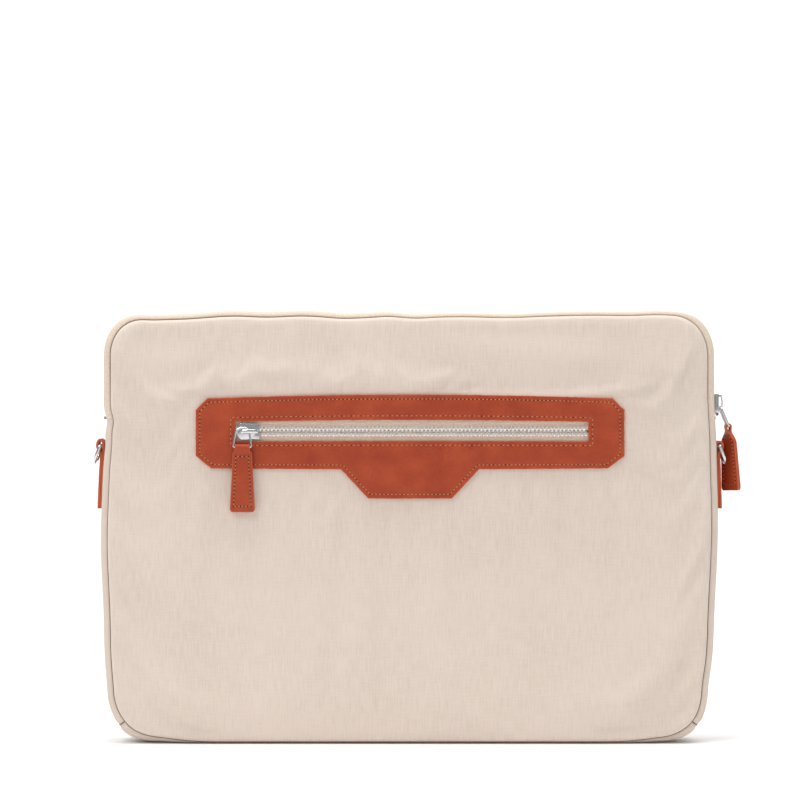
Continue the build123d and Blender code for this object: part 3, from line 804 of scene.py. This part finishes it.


# A dark brown cord along each panel's seam: painted shade in the seam's gap, drawn widest where that shade
# shows most.
for name, side in (("front_seam_shade", -1), ("back_seam_shade", 1)):
    points, widths = [], []
    count = 560
    for i in range(count):
        x, z, nx, nz = rim(rim_length * i / count)
        inset = seam_inset + 0.1 * MM
        points.append(soften((x - nx * inset, side * (seam_y + 0.25 * MM), z - nz * inset)))
        widths.append((0.16 + 0.42 * seam_shade_strength(x, z)) * MM)
    line = new_piece(name, *cord(points, widths), seam_shade_cord)
    give(line, "sleeve", "seam_tape")

# Dark cords sunk in the corner seams' grooves: painted shade in the seam.
for name, s in (("right_corner_seam_shade", right_corner), ("left_corner_seam_shade", left_corner)):
    x, z, nx, nz = rim(s)
    outer = rolled_outline(-1, 0.0, gusset_sheet)[0][::-1] + rolled_outline(1, 0.0, gusset_sheet)[0][1:]
    sunk = 0.55 * MM
    points = [soften((x + nx * (out - sunk), y, z + nz * (out - sunk))) for out, y in outer]
    give(new_piece(name, *cord(points, [0.3 * MM] * len(points)), seam_shade_cord), "sleeve", "seam_tape")

# Inside the shell: the gusset's foam strip and the bound seam edges follow the same soft shape.
foam_outline = metres([(-1.2, -7.5), (-1.2, 7.5), (-9.0, 7.5), (-9.0, -7.5)])
foam_strip = rim_strip("gusset_padding", mouth_length, rim_length, foam_outline, foam_sheet, step=6 * MM)
give(foam_strip, "sleeve", "foam", "gusset_foam")
bindings = (("front_binding", "front_seam_binding", -1), ("back_binding", "back_seam_binding", 1))
for name, node, side in bindings:
    near, far = side * 11.3, side * 12.0
    section = metres([(-5.4, near), (-5.4, far), (-8.2, far), (-8.2, near)])
    strip = rim_strip(name, 0.0, rim_length, section, binding, step=5 * MM)
    give(strip, "sleeve", "seam_tape", node)


# -------- zip chain
def tooth_shape():
    """One metal tooth: local x along the chain, y across it, z outwards."""
    rows = (
        # across, width, height above and below the tape
        (3.08, 0.70, 0.70),
        (2.85, 1.15, 1.12),
        (2.10, 1.42, 1.25),
        (1.20, 1.36, 1.25),
        (0.60, 1.22, 1.14),
        (-0.10, 1.18, 1.10),
        (-0.42, 0.80, 0.80),
    )
    verts = []
    cut = 0.22
    for across, width, h in rows:
        w = width / 2
        u, v = w - cut, h - cut
        corners = ((w, v), (u, h), (-u, h), (-w, v), (-w, -v), (-u, -h), (u, -h), (w, -v))
        verts += [(x * MM, across * MM, z * MM) for x, z in corners]
    return verts, bands(len(rows), 8) + caps(len(rows), 8)


tooth_verts, tooth_faces = tooth_shape()
mirrored_verts = [(x, -y, z) for x, y, z in tooth_verts]
mirrored_faces = [face[::-1] for face in tooth_faces]

teeth_in_slider = 3
half_tooth = 0.65 * MM
pocket_rows = (
    ("pocket_chain_upper", "pocket_teeth_upper", tooth_verts, tooth_faces),
    ("pocket_chain_lower", "pocket_teeth_lower", mirrored_verts, mirrored_faces),
)
for name, node, verts, faces in pocket_rows:
    row = Heap()
    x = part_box(node)[0][0] + half_tooth - teeth_in_slider * tooth_pitch
    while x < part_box(node)[1][0] - 0.5 * MM:
        turn = Matrix.Rotation(random.uniform(-0.03, 0.03), 4, "Z")
        row.add(verts, faces, place((x, pocket_zip.y, pocket_zip.z), (1, 0, 0), (0, -1, 0)) @ turn)
        x += tooth_pitch
    give(row.piece(name, tooth_metal, smooth_faces=False), "sleeve", "zip_metal", node)


def mouth_frame(s):
    """Local frame of the mouth chain at s, on the wavy tape's middle."""
    points = []
    for t in (s - MM, s, s + MM):
        x, z, nx, nz = rim(t)
        points.append(soften((x - nx * 0.3 * MM, 0.0, z - nz * 0.3 * MM)))
    along = points[2] - points[0]
    outward = along.cross(Vector((0, 1, 0)))
    return place(points[1], along, outward)


end_gap, stop_length, stop_gap, tooth_room = 0.2, 1.6, 0.2, 1.3
first_tooth = (end_gap + stop_length + stop_gap + tooth_room) * MM
last_tooth = mouth_length - first_tooth
mouth_rows = (
    ("mouth_chain_front", "main_teeth_front", mirrored_verts, mirrored_faces, 0.0),
    ("mouth_chain_back", "main_teeth_back", tooth_verts, tooth_faces, tooth_pitch / 2),
)
for name, node, verts, faces, shift in mouth_rows:
    row = Heap()
    s = first_tooth + shift
    while s < last_tooth:
        row.add(verts, faces, mouth_frame(s))
        s += tooth_pitch
    give(row.piece(name, tooth_metal, smooth_faces=False), "sleeve", "zip_metal", node)


def pocket_tape(name, node, side):
    """Pocket tape strip with a thicker corded edge along the chain."""
    low, high = Vector(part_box(node)[0]), Vector(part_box(node)[1])
    inner, outer = (low.z, high.z) if side > 0 else (high.z, low.z)
    front = low.y
    rows = (
        # across, depth; in millimetres
        (-1.35, 0.1), (-1.3, -0.35), (-0.9, -0.62), (-0.2, -0.72), (0.5, -0.66), (1.1, -0.4), (1.5, -0.1),
        (2.4, 0.0), (2.6, -0.06), (3.6, -0.06), (3.8, 0.0), (6.0, 0.0), (12.1, 0.0), (12.1, 0.6), (-1.2, 0.6),
    )
    steps = 80
    verts, uvs = [], []
    for i in range(steps + 1):
        x = low.x + (high.x - low.x) * i / steps
        sag = 0.12 * MM * noise.noise(Vector((x * 60, side, 0)))
        for across, depth in rows:
            verts.append((x, front + depth * MM + sag, inner + side * across * MM))
            uvs.append((across * MM, x + 0.5))
    faces = bands(steps + 1, len(rows)) + caps(steps + 1, len(rows))
    piece = new_piece(name, verts, faces, zip_tape, uvs=uvs)
    mend(piece)
    give(piece, "sleeve", "zip_tape", node)


pocket_tape("pocket_zip_tape_upper", "pocket_tape_upper", 1)
pocket_tape("pocket_zip_tape_lower", "pocket_tape_lower", -1)


# -------- sliders
def plate(heap, outline, low, high, m):
    """Flat prism between two heights in the slider's local frame."""
    flat, faces = flat_mesh([outline], [])
    count = len(flat)
    verts = [m @ Vector((p.x, p.y, level)) for level in (low, high) for p in flat]
    sides = []

    def rank(i):
        return min(range(len(outline)), key=lambda k: (flat[i] - Vector(outline[k])).length)

    order = sorted(range(count), key=rank)
    for k in range(count):
        a, b = order[k], order[(k + 1) % count]
        sides.append((a, b, b + count, a + count))
    heap.add(verts, [f[::-1] for f in faces] + [tuple(i + count for i in f) for f in faces] + sides)


def slider(prefix, body_node, bail_node, m, body):
    """Slider body with nose, tail, rails and diamond, and the bail over it."""
    end, nose, tail = 6.5, 4.7, 4.35
    outline = rounded(
        [
            (end, -tail), (end, -0.9), (end - 0.9, 0), (end, 0.9), (end, tail), (1.2, tail), (-0.6, nose),
            (2.0 - end, nose), (-end, 1.6), (-end, -1.6), (2.0 - end, -nose), (-0.6, -nose), (1.2, -tail),
        ],
        [0.7, 0.2, 0.2, 0.2, 0.7, 1.0, 1.0, 1.6, 1.2, 1.2, 1.6, 1.0, 1.0],
        5,
    )
    rail_end = end - 0.3
    rail = metres([(-4.3, 3.45), (rail_end, 3.45), (rail_end, 4.25), (0.9, 4.3), (-0.6, 4.6), (-4.3, 4.6)])
    diamond = metres([(-6.2, 0.8), (-6.2, -0.8), (-4.5, -1.6), (-1.5, -0.15), (-1.5, 0.15), (-4.5, 1.6)])
    metal = Heap()
    for low, high in ((1.4, 2.6), (-2.6, -1.4)):
        plate(metal, metres(outline), low * MM, high * MM, m)
    for low, high in ((0.55, 1.45), (-1.45, -0.55)):
        plate(metal, rail, low * MM, high * MM, m)
        plate(metal, [(x, -y) for x, y in rail][::-1], low * MM, high * MM, m)
    plate(metal, diamond[::-1], -1.45 * MM, 1.45 * MM, m)
    piece = metal.piece(prefix + "_body", nickel)
    mend(piece, flatten=True)
    add_bevel(piece, 0.3 * MM, 3, 50)
    give(piece, body, "slider_metal", body_node)

    strap = Heap()
    rows = []
    for k in range(25):
        t = k / 24
        dome = math.sin(math.pi * t) ** 0.45
        under = 2.6 if k in (0, 24) else 3.6 + 0.95 * dome
        rows.append((-4.3 + 10.0 * t, 4.0 + 1.3 * dome, under, 0.75 + 0.45 * math.sin(math.pi * t) ** 0.5))
    verts = []
    for x, top, under, half in rows:
        mid, crown = (top + under) / 2, half * 0.72
        ring = ((half, under), (half, mid), (crown, top), (-crown, top), (-half, mid), (-half, under))
        verts += [m @ Vector((x * MM, y * MM, z * MM)) for y, z in ring]
    faces = [(a, d, c, b) for a, b, c, d in bands(len(rows), 6)]
    strap.add(verts, faces + [cap[::-1] for cap in caps(len(rows), 6)])
    plate(strap, metres(circle(-3.2, 1.15, 20)), 2.55 * MM, 4.7 * MM, m)
    foot = [(4.3, -1.1), (5.6, -1.1), (5.6, 1.1), (4.3, 1.1)]
    plate(strap, metres(foot), 2.55 * MM, 4.75 * MM, m)
    piece = strap.piece(prefix + "_bail", nickel)
    mend(piece)
    add_bevel(piece, 0.16 * MM, 2, 50)
    give(piece, body, "slider_metal", bail_node)

    # A dark disc of painted shade over the slider's lock hole.
    pit = Heap()
    plate(pit, metres(circle(2.6, 0.55, 20)), 2.5 * MM, 2.63 * MM, m)
    give(pit.piece(prefix + "_lock_hole_shade", hole), body, "slider_metal")


pocket_place = place(pocket_zip, (1, 0, 0), (0, -1, 0))
main_place = place(main_zip, (0, 0, 1), (1, 0, 0))
slider("pocket_zip_slider", "pocket_slider_body", "pocket_slider_bail", pocket_place, "pocket_slider")
slider("mouth_slider", "main_slider_body", "main_slider_bail", main_place, "main_slider")


# -------- rings
def wire_ring(name, node, body, slot, pivot, down, width, outline, wire):
    """Ring of round wire in the plane of width and down.

    outline is a list of (across, up) and wire is the wire's radius, in millimetres.
    """
    across = width.cross(-down)
    points = [pivot + width * x * MM - down * y * MM for x, y in outline]
    piece = new_piece(name, *tube(points, across, wire * MM, 16), nickel)
    mend(piece, weld=True)
    give(piece, body, slot, node)


def joint_point(name):
    return Vector(joints[name]["pos_m"])


pocket_post = joint_point("pocket_ring_swing")
pocket_bar = joint_point("pocket_pull_flip")
pocket_down = (pocket_bar - pocket_post).normalized()
main_pin = joint_point("main_ring_flip")
main_bar = joint_point("main_pull_flip")
main_down = (main_bar - main_pin).normalized()
x_axis, y_axis = Vector((1, 0, 0)), Vector((0, 1, 0))
pull_ring_wire = 0.62
d_ring_wire = 1.0

pocket_loop = rounded([(-5.25, -9.05), (5.25, -9.05), (3.5, 1.95), (-3.5, 1.95)], [1.1, 1.1, 3.4, 3.4], 12)
wire_ring(
    "pocket_ring_wire", "pocket_pull_ring", "pocket_ring", "slider_metal",
    pocket_post, pocket_down, x_axis, pocket_loop, pull_ring_wire,
)
main_loop = rounded([(-5.25, -12.2), (5.25, -12.2), (5.25, 0), (-5.25, 0)], [1.1, 1.1, 2.6, 2.6], 12)
wire_ring(
    "mouth_ring_wire", "main_pull_ring", "main_ring", "slider_metal",
    main_pin, main_down, y_axis, main_loop, pull_ring_wire,
)
d_loop = rounded([(-7.7, -10.4), (7.7, -10.4), (7.7, 0), (-7.7, 0)], [6.0, 6.0, 1.3, 1.3], 14)
d_tilt = math.radians(20)
for side, node, body in ((-1, "left_d_ring", "left_ring"), (1, "right_d_ring", "right_ring")):
    pivot = joint_point(node + "_swing")
    down = Vector((side * math.sin(d_tilt), 0, -math.cos(d_tilt)))
    wire_ring(node + "_wire", node, body, "ring_metal", pivot, down, y_axis, d_loop, d_ring_wire)


# -------- stitches
def stitch_shape():
    """Short fat thread with rounded ends: 1 long and 1 wide, to be scaled."""
    verts = []
    rings = ((-0.5, 0.35), (-0.36, 0.8), (-0.15, 1.0), (0.15, 1.0), (0.36, 0.8), (0.5, 0.35))
    for x, size in rings:
        for k in range(8):
            a = 2 * math.pi * k / 8
            drop = -0.55 * (2 * abs(x)) ** 3
            verts.append((x, 0.5 * size * math.cos(a), 0.5 * size * math.sin(a) + drop))
    return verts, [f[::-1] for f in bands(len(rings), 8) + caps(len(rings), 8)]


stitch_verts, stitch_faces = stitch_shape()
# A needle hole is a dark plug of painted shade, wider than it is deep, that ends just proud of the leather.
disc = circle(0, 1, 10)
pin = [(x, y, z) for z in (-0.3 * MM, 0.07 * MM) for x, y in disc]
pin_faces = [(k, (k + 1) % 10, (k + 1) % 10 + 10, k + 10) for k in range(10)] + caps(2, 10)


stitch_share = 0.64  # a stitch's length as a share of the pitch
thread_height = 0.42


def sew(threads, holes, a, b, outward, pitch, width=0.5, laid=lambda p: p):
    """Row of stitches from a to b, with a painted-shade needle hole between each two; laid puts a point on
    the surface.
    """
    run = b - a
    count = max(1, round(run.length / (pitch * MM)))
    along = run.normalized()
    for i in range(count):
        middle = laid(a + run * (i + 0.5) / count)
        m = place(middle + outward * 0.05 * MM, along, outward)
        m = m @ Matrix.Rotation(math.radians(random.uniform(3, 11)), 4, "Z")
        m = m @ Matrix.Diagonal((stitch_share * pitch * MM, width * MM, thread_height * MM, 1))
        threads.add(stitch_verts, stitch_faces, m)
        spot = place(laid(a + run * i / count), along, outward)
        holes.add(pin, pin_faces, spot @ Matrix.Diagonal((0.42 * MM, 0.36 * MM, 1, 1)))


def finish_stitches(name, threads, holes, body):
    """Makes the pieces of a leather part's thread and painted-shade needle holes, and returns both."""
    sewn = give(threads.piece(name + "_stitches", thread), body, "seam_tape")
    pierced = give(holes.piece(name + "_needle_hole_shade", hole), body, "leather")
    return sewn, pierced


# -------- leather frame of the pocket
def mark_wear(piece, amount):
    """Writes how worn each point is, for the leather's pale edges."""
    layer = piece.data.attributes.new("wear", "FLOAT", "POINT")
    layer.data.foreach_set("value", amount)


frame_half = frame_high.x
frame_top, lobe_bottom = frame_high.z, frame_low.z
frame_bottom = 157 * MM
stitch_margin = 2.4 * MM
frame_outline = [
    (-frame_half, frame_bottom + 7.2 * MM),
    (-frame_half + 9 * MM, frame_bottom),
    (-39.3 * MM, frame_bottom),
    (-23.8 * MM, lobe_bottom),
    (23.8 * MM, lobe_bottom),
    (39.3 * MM, frame_bottom),
    (frame_half - 9.4 * MM, frame_bottom),
    (frame_half, frame_bottom + 7.2 * MM),
    (frame_half, frame_top - 6.7 * MM),
    (frame_half - 6.7 * MM, frame_top),
    (-frame_half + 6.7 * MM, frame_top),
    (-frame_half, frame_top - 6.7 * MM),
]


def frame_bow(x, z):
    """Height of a point on the swollen frame: taller in its middle, with its zip in a slight arch."""
    arch = 1 - (x / frame_half) ** 2
    return z + 0.9 * MM * arch - 0.4 * MM + (z - pocket_zip.z) * (0.075 * arch - 0.035)


def offset_outline(outline, distance):
    """Outline moved inwards; its points run anticlockwise."""
    out = []
    for i, p in enumerate(outline):
        here, before, after = Vector(p), Vector(outline[i - 1]), Vector(outline[(i + 1) % len(outline)])
        a, b = (here - before).normalized(), (after - here).normalized()
        left_a, left_b = Vector((-a.y, a.x)), Vector((-b.y, b.x))
        middle = (left_a + left_b).normalized()
        out.append(tuple(here + middle * distance / max(0.3, middle.dot(left_a))))
    return out


def edge_distance(point, outline):
    """Distance to the nearest side of an outline."""
    best = 1.0
    p = Vector(point)
    for a, b in zip(outline, outline[1:] + outline[:1]):
        a, b = Vector(a), Vector(b)
        t = min(max((p - a).dot(b - a) / (b - a).length_squared, 0), 1)
        best = min(best, (p - a.lerp(b, t)).length)
    return best


def leather_frame():
    """The pocket's leather frame round the zip, with its two rows of stitches."""
    window = [
        (window_left, pocket_zip.z - window_half_height),
        (window_right, pocket_zip.z - window_half_height),
        (window_right, pocket_zip.z + window_half_height),
        (window_left, pocket_zip.z + window_half_height),
    ]
    edge = resampled(rounded(frame_outline, [0.8 * MM] * len(frame_outline), 3), 1.6 * MM)
    gap = resampled(rounded(window, [0.8 * MM] * 4, 3), 1.6 * MM)
    extra = []
    for loop, sign in ((frame_outline, 1), (window, -1)):
        for depth in (0.5, 1.2, 1.9, 2.4, 2.9):
            extra += resampled(offset_outline(loop, sign * depth * MM), 1.8 * MM)
    step = 2.2 * MM
    within, without = offset_outline(frame_outline, 3.6 * MM), offset_outline(window, -3.6 * MM)
    columns, rows = 60, 30
    for i in range(-columns, columns + 1):
        for j in range(rows):
            p = ((i + 0.5 * (j % 2)) * step, lobe_bottom + j * step * 0.9)
            if inside(p, within) and not inside(p, without):
                extra.append(p)
    flat, faces = flat_mesh([edge, gap], extra, [gap])
    verts, wear = [], []
    front = -panel_face - leather

    def face_depth(x, z, near):
        puff = 0.20 * MM * noise.noise(Vector((x * 45, z * 45, 7))) + 0.10 * MM * smooth(near, 0, 6 * MM)
        return front - puff + 0.22 * MM * bell(near, stitch_margin, 0.6 * MM)

    for p in flat:
        near = min(edge_distance(p, frame_outline), edge_distance(p, window))
        jag = 0.22 * MM * noise.noise(Vector((p.x * 420, p.y * 420, 1))) * (near < 0.1 * MM)
        verts.append((p.x + jag, face_depth(p.x, p.y, near), frame_bow(p.x, p.y) + jag))
        wear.append(1 - smooth(near, 0.1 * MM, 1.0 * MM))
    piece = new_piece("pocket_frame", verts, faces, cognac)
    mark_wear(piece, wear)
    add_thickness(piece, leather)
    add_bevel(piece, 0.28 * MM, 3, 55)
    give(piece, "sleeve", "leather", "pocket_leather_frame")

    threads, holes = Heap(), Heap()
    face = Vector((0, -1, 0))

    def laid(p):
        return Vector((p.x, face_depth(p.x, p.z, stitch_margin), frame_bow(p.x, p.z)))

    for loop, distance, pitch in ((frame_outline, stitch_margin, 2.3), (window, -stitch_margin, 2.75)):
        row = [Vector((x, 0, z)) for x, z in offset_outline(loop, distance)]
        for a, b in zip(row, row[1:] + row[:1]):
            sew(threads, holes, a, b, face, pitch, laid=laid)
    finish_stitches("pocket_frame", threads, holes, "sleeve")


leather_frame()


# -------- folded leather
def folded_strip(name, node, body, m, bar_radius, layer, length, width_at, squash=1.0, spread=0.0):
    """Leather strip folded round a bar at the local origin; local y is up, z outwards, x its width.

    width_at gives the strip's width at a distance below the bar, squash stretches the fold above the bar
    and spread shifts both layers outwards.
    """
    middle = bar_radius + layer / 2
    rows, turns, columns = 34, 14, 13
    profile = []
    for k in range(rows):
        d = length * (1 - k / rows)
        ease = smooth(d, 0.6 * MM, 4.5 * MM)
        profile.append((-d, -(middle * (1 - ease) + layer / 2 * ease) + spread * ease, d))
    arc = []
    for k in range(turns + 1):
        a = math.pi * k / turns
        arc.append((middle * math.sin(a) * squash, -middle * math.cos(a), 0.0))
    back = [(y, -z + 2 * spread * smooth(d, 0.6 * MM, 4.5 * MM), d) for y, z, d in profile[::-1]]
    line = profile + arc + back
    verts, wear, faces = [], [], []
    for y, z, d in line:
        half = width_at(d) / 2
        for k in range(columns):
            t = 2 * k / (columns - 1) - 1
            ripple = 0.10 * MM * noise.noise(Vector((t * 2, y * 300, z * 900)))
            verts.append(m @ Vector((half * t, y, z + ripple)))
            end = min(half * (1 - abs(t)), length - d if d > 2 * MM else MM)
            wear.append(1 - smooth(end, 0.1 * MM, 1.1 * MM))
    for i in range(len(line) - 1):
        for k in range(columns - 1):
            a = i * columns + k
            faces.append((a, a + 1, a + 1 + columns, a + columns))
    piece = new_piece(name, verts, faces, cognac)
    mark_wear(piece, wear)
    add_thickness(piece, layer * 0.97, offset=0)
    add_bevel(piece, 0.2 * MM, 2, 55)
    give(piece, body, "leather", node)
    return piece


pull_length = 36.9 * MM


def pull_width(d):
    """Width of a zip pull: narrow in the ring, then shoulders, then a slow flare to a clipped end."""
    neck, shoulder, end = 8.4 * MM, 11.0 * MM, 14.4 * MM
    flare = shoulder + (end - shoulder) * smooth(d, 0, 1.15 * pull_length)
    width = neck + (flare - neck) * smooth(d, 2.0 * MM, 3.4 * MM)
    return width - 1.8 * MM * smooth(d, pull_length - 1.5 * MM, pull_length)


def zip_pull(prefix, node, body, bar, up, width, twist=0.0):
    """Stitched leather pull folded round its ring's bar; twist turns its lower end."""
    m = place(bar, width, width.cross(up))
    layer, margin = 1.05 * MM, 2.0 * MM
    strip = folded_strip(prefix + "_leather", node, body, m, 0.75 * MM, layer, pull_length, pull_width)
    threads, holes = Heap(), Heap()
    for face_side in (1, -1):
        z = face_side * 1.06 * MM
        outward = (m.to_3x3() @ Vector((0, 0, face_side))).normalized()
        corners = []
        for d in (5.2 * MM, 20 * MM, pull_length - 3.4 * MM):
            corners.append((pull_width(d) / 2 - margin, -d))
        ring = [m @ Vector((x, y, z)) for x, y in corners]
        ring += [m @ Vector((-x, y, z)) for x, y in corners[::-1]]
        for a, b in zip(ring, ring[1:] + ring[:1]):
            sew(threads, holes, a, b, outward, 2.1, 0.46)
    sewn = finish_stitches(prefix, threads, holes, body)
    if twist:
        for piece in (strip, *sewn):
            for vert in piece.data.vertices:
                local = m.inverted() @ vert.co
                share = smooth(-local.y, 1.5 * MM, 10 * MM)
                turn = Matrix.Rotation(twist * share, 4, "Y")
                vert.co = m @ (turn @ local)


pocket_tilt = math.radians(-1.5)
pull_up = Vector((0, math.sin(pocket_tilt), math.cos(pocket_tilt)))
zip_pull("pocket_zip_pull", "pocket_pull_leather", "pocket_pull", pocket_bar, pull_up, x_axis)
main_tilt = math.radians(3)
main_up = Vector((-math.sin(main_tilt), 0, math.cos(main_tilt)))
zip_pull("mouth_pull", "main_pull_leather", "main_pull", main_bar, main_up, y_axis, twist=math.radians(36))


# -------- side tabs
tab_length = joint_point("left_d_ring_swing").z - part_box("left_tab_leather")[0][2]


def tab_width(d):
    """A side tab is equally wide all the way down."""
    return 12.6 * MM


for side, node in ((-1, "left_tab_leather"), (1, "right_tab_leather")):
    pivot = joint_point(("left" if side < 0 else "right") + "_d_ring_swing")
    width = Vector((0, side, 0))
    m = place(pivot, width, (side, 0, 0))
    drop = abs(pivot.x) - half_width - leather
    name = "left_tab" if side < 0 else "right_tab"
    tall = 1.9 if side < 0 else 1.2
    strip = folded_strip(name, node, "sleeve", m, 1.1 * MM, leather, tab_length, tab_width, tall, -drop)
    threads, holes = Heap(), Heap()
    outward = Vector((side, 0, 0))
    x = side * (half_width + 2 * leather - 0.02 * MM)
    top, low, edge = pivot.z - 6.5 * MM, pivot.z - tab_length + 2.2 * MM, 4.2 * MM
    ring = [(edge, top), (-edge, top), (-edge, low), (edge, low)]
    for (ya, za), (yb, zb) in zip(ring, ring[1:] + ring[:1]):
        sew(threads, holes, Vector((x, ya, za)), Vector((x, yb, zb)), outward, 2.2)
    sewn = finish_stitches(name, threads, holes, "sleeve")
    for piece in (strip, *sewn):
        for vert in piece.data.vertices:
            here = vert.co
            bulge = soften((side * half_width, 0.0, here.z)).x - side * half_width
            reach = 1 - smooth(here.z, pivot.z - 14 * MM, pivot.z - 2 * MM)
            vert.co.x += (bulge + side * 0.15 * MM) * reach


# -------- finishes of the CAD nodes that stay
kept_nodes = {
    "front_foam": foam_sheet,
    "back_foam": foam_sheet,
    "front_lining": lining_cloth,
    "back_lining": lining_cloth,
    "gusset_lining": lining_cloth,
    "pocket_bag_front": pocket_cotton,
    "pocket_bag_back": pocket_cotton,
    "main_zip_stops": nickel,
    "pocket_zip_stops": nickel,
}
for node, material in kept_nodes.items():
    part = frame["nodes"][node]
    part.data.materials.clear()
    part.data.materials.append(material)


# -------- floor, light and camera
def backdrop():
    """Pale floor that curves up into a wall."""
    rows = [(-3.0, 0.0), (1.2, 0.0)]
    for k in range(1, 13):
        a = math.pi / 2 * k / 12
        rows.append((1.2 + 0.9 * math.sin(a), 0.9 - 0.9 * math.cos(a)))
    rows.append((2.1, 4.0))
    verts, faces = [], []
    for y, z in rows:
        verts += [(-4.0, y, z), (4.0, y, z)]
    for i in range(len(rows) - 1):
        faces.append((2 * i, 2 * i + 1, 2 * i + 3, 2 * i + 2))
    shader = Shader("pale_floor", roughness=0.75, specular=0.2)
    grain = shader.noise(shader.coordinates("Object"), 30.0, 3.0)
    material = shader.set(Base_Color=shader.colour(grain, (0.93, 0.93, 0.93), (0.95, 0.95, 0.95)))
    new_piece("floor", verts, faces, material)


def soft_light(name, location, target, size, power):
    """Rectangular lamp aimed at a point."""
    data = bpy.data.lights.new(name, "AREA")
    data.shape = "RECTANGLE"
    data.size, data.size_y = size
    data.energy = power
    light = bpy.data.objects.new(name, data)
    light.location = location
    light.rotation_euler = (Vector(target) - Vector(location)).to_track_quat("-Z", "Y").to_euler()
    bpy.context.scene.collection.objects.link(light)


backdrop()
middle = (0, 0, height / 2)
soft_light("key", (-1.0, -1.3, 1.75), middle, (1.0, 0.8), 14)
soft_light("fill", (1.6, -1.3, 0.6), middle, (0.9, 1.2), 2.3)
soft_light("top", (0.0, 0.1, 2.0), middle, (1.8, 1.2), 8.4)
soft_light("wall", (0.0, -0.2, 2.6), (0, 2.0, 0.6), (3.0, 1.0), 60)
world = bpy.data.worlds.new("studio")
world.use_nodes = True
sky = world.node_tree.nodes["Background"].inputs
sky["Color"].default_value = (1, 1, 1, 1)
sky["Strength"].default_value = 0.37
bpy.context.scene.world = world
bpy.context.scene.view_settings.view_transform = "Standard"

camera_distance = 1.6
view_width = 0.4576
camera_data = bpy.data.cameras.new("camera")
camera_data.sensor_width = 36
camera_data.lens = camera_data.sensor_width * camera_distance / view_width
camera = bpy.data.objects.new("camera", camera_data)
camera.location = (-0.0057, -camera_distance - 0.010, 0.1962)
camera.rotation_euler = (math.radians(90), 0, 0)
bpy.context.scene.collection.objects.link(camera)
bpy.context.scene.camera = camera
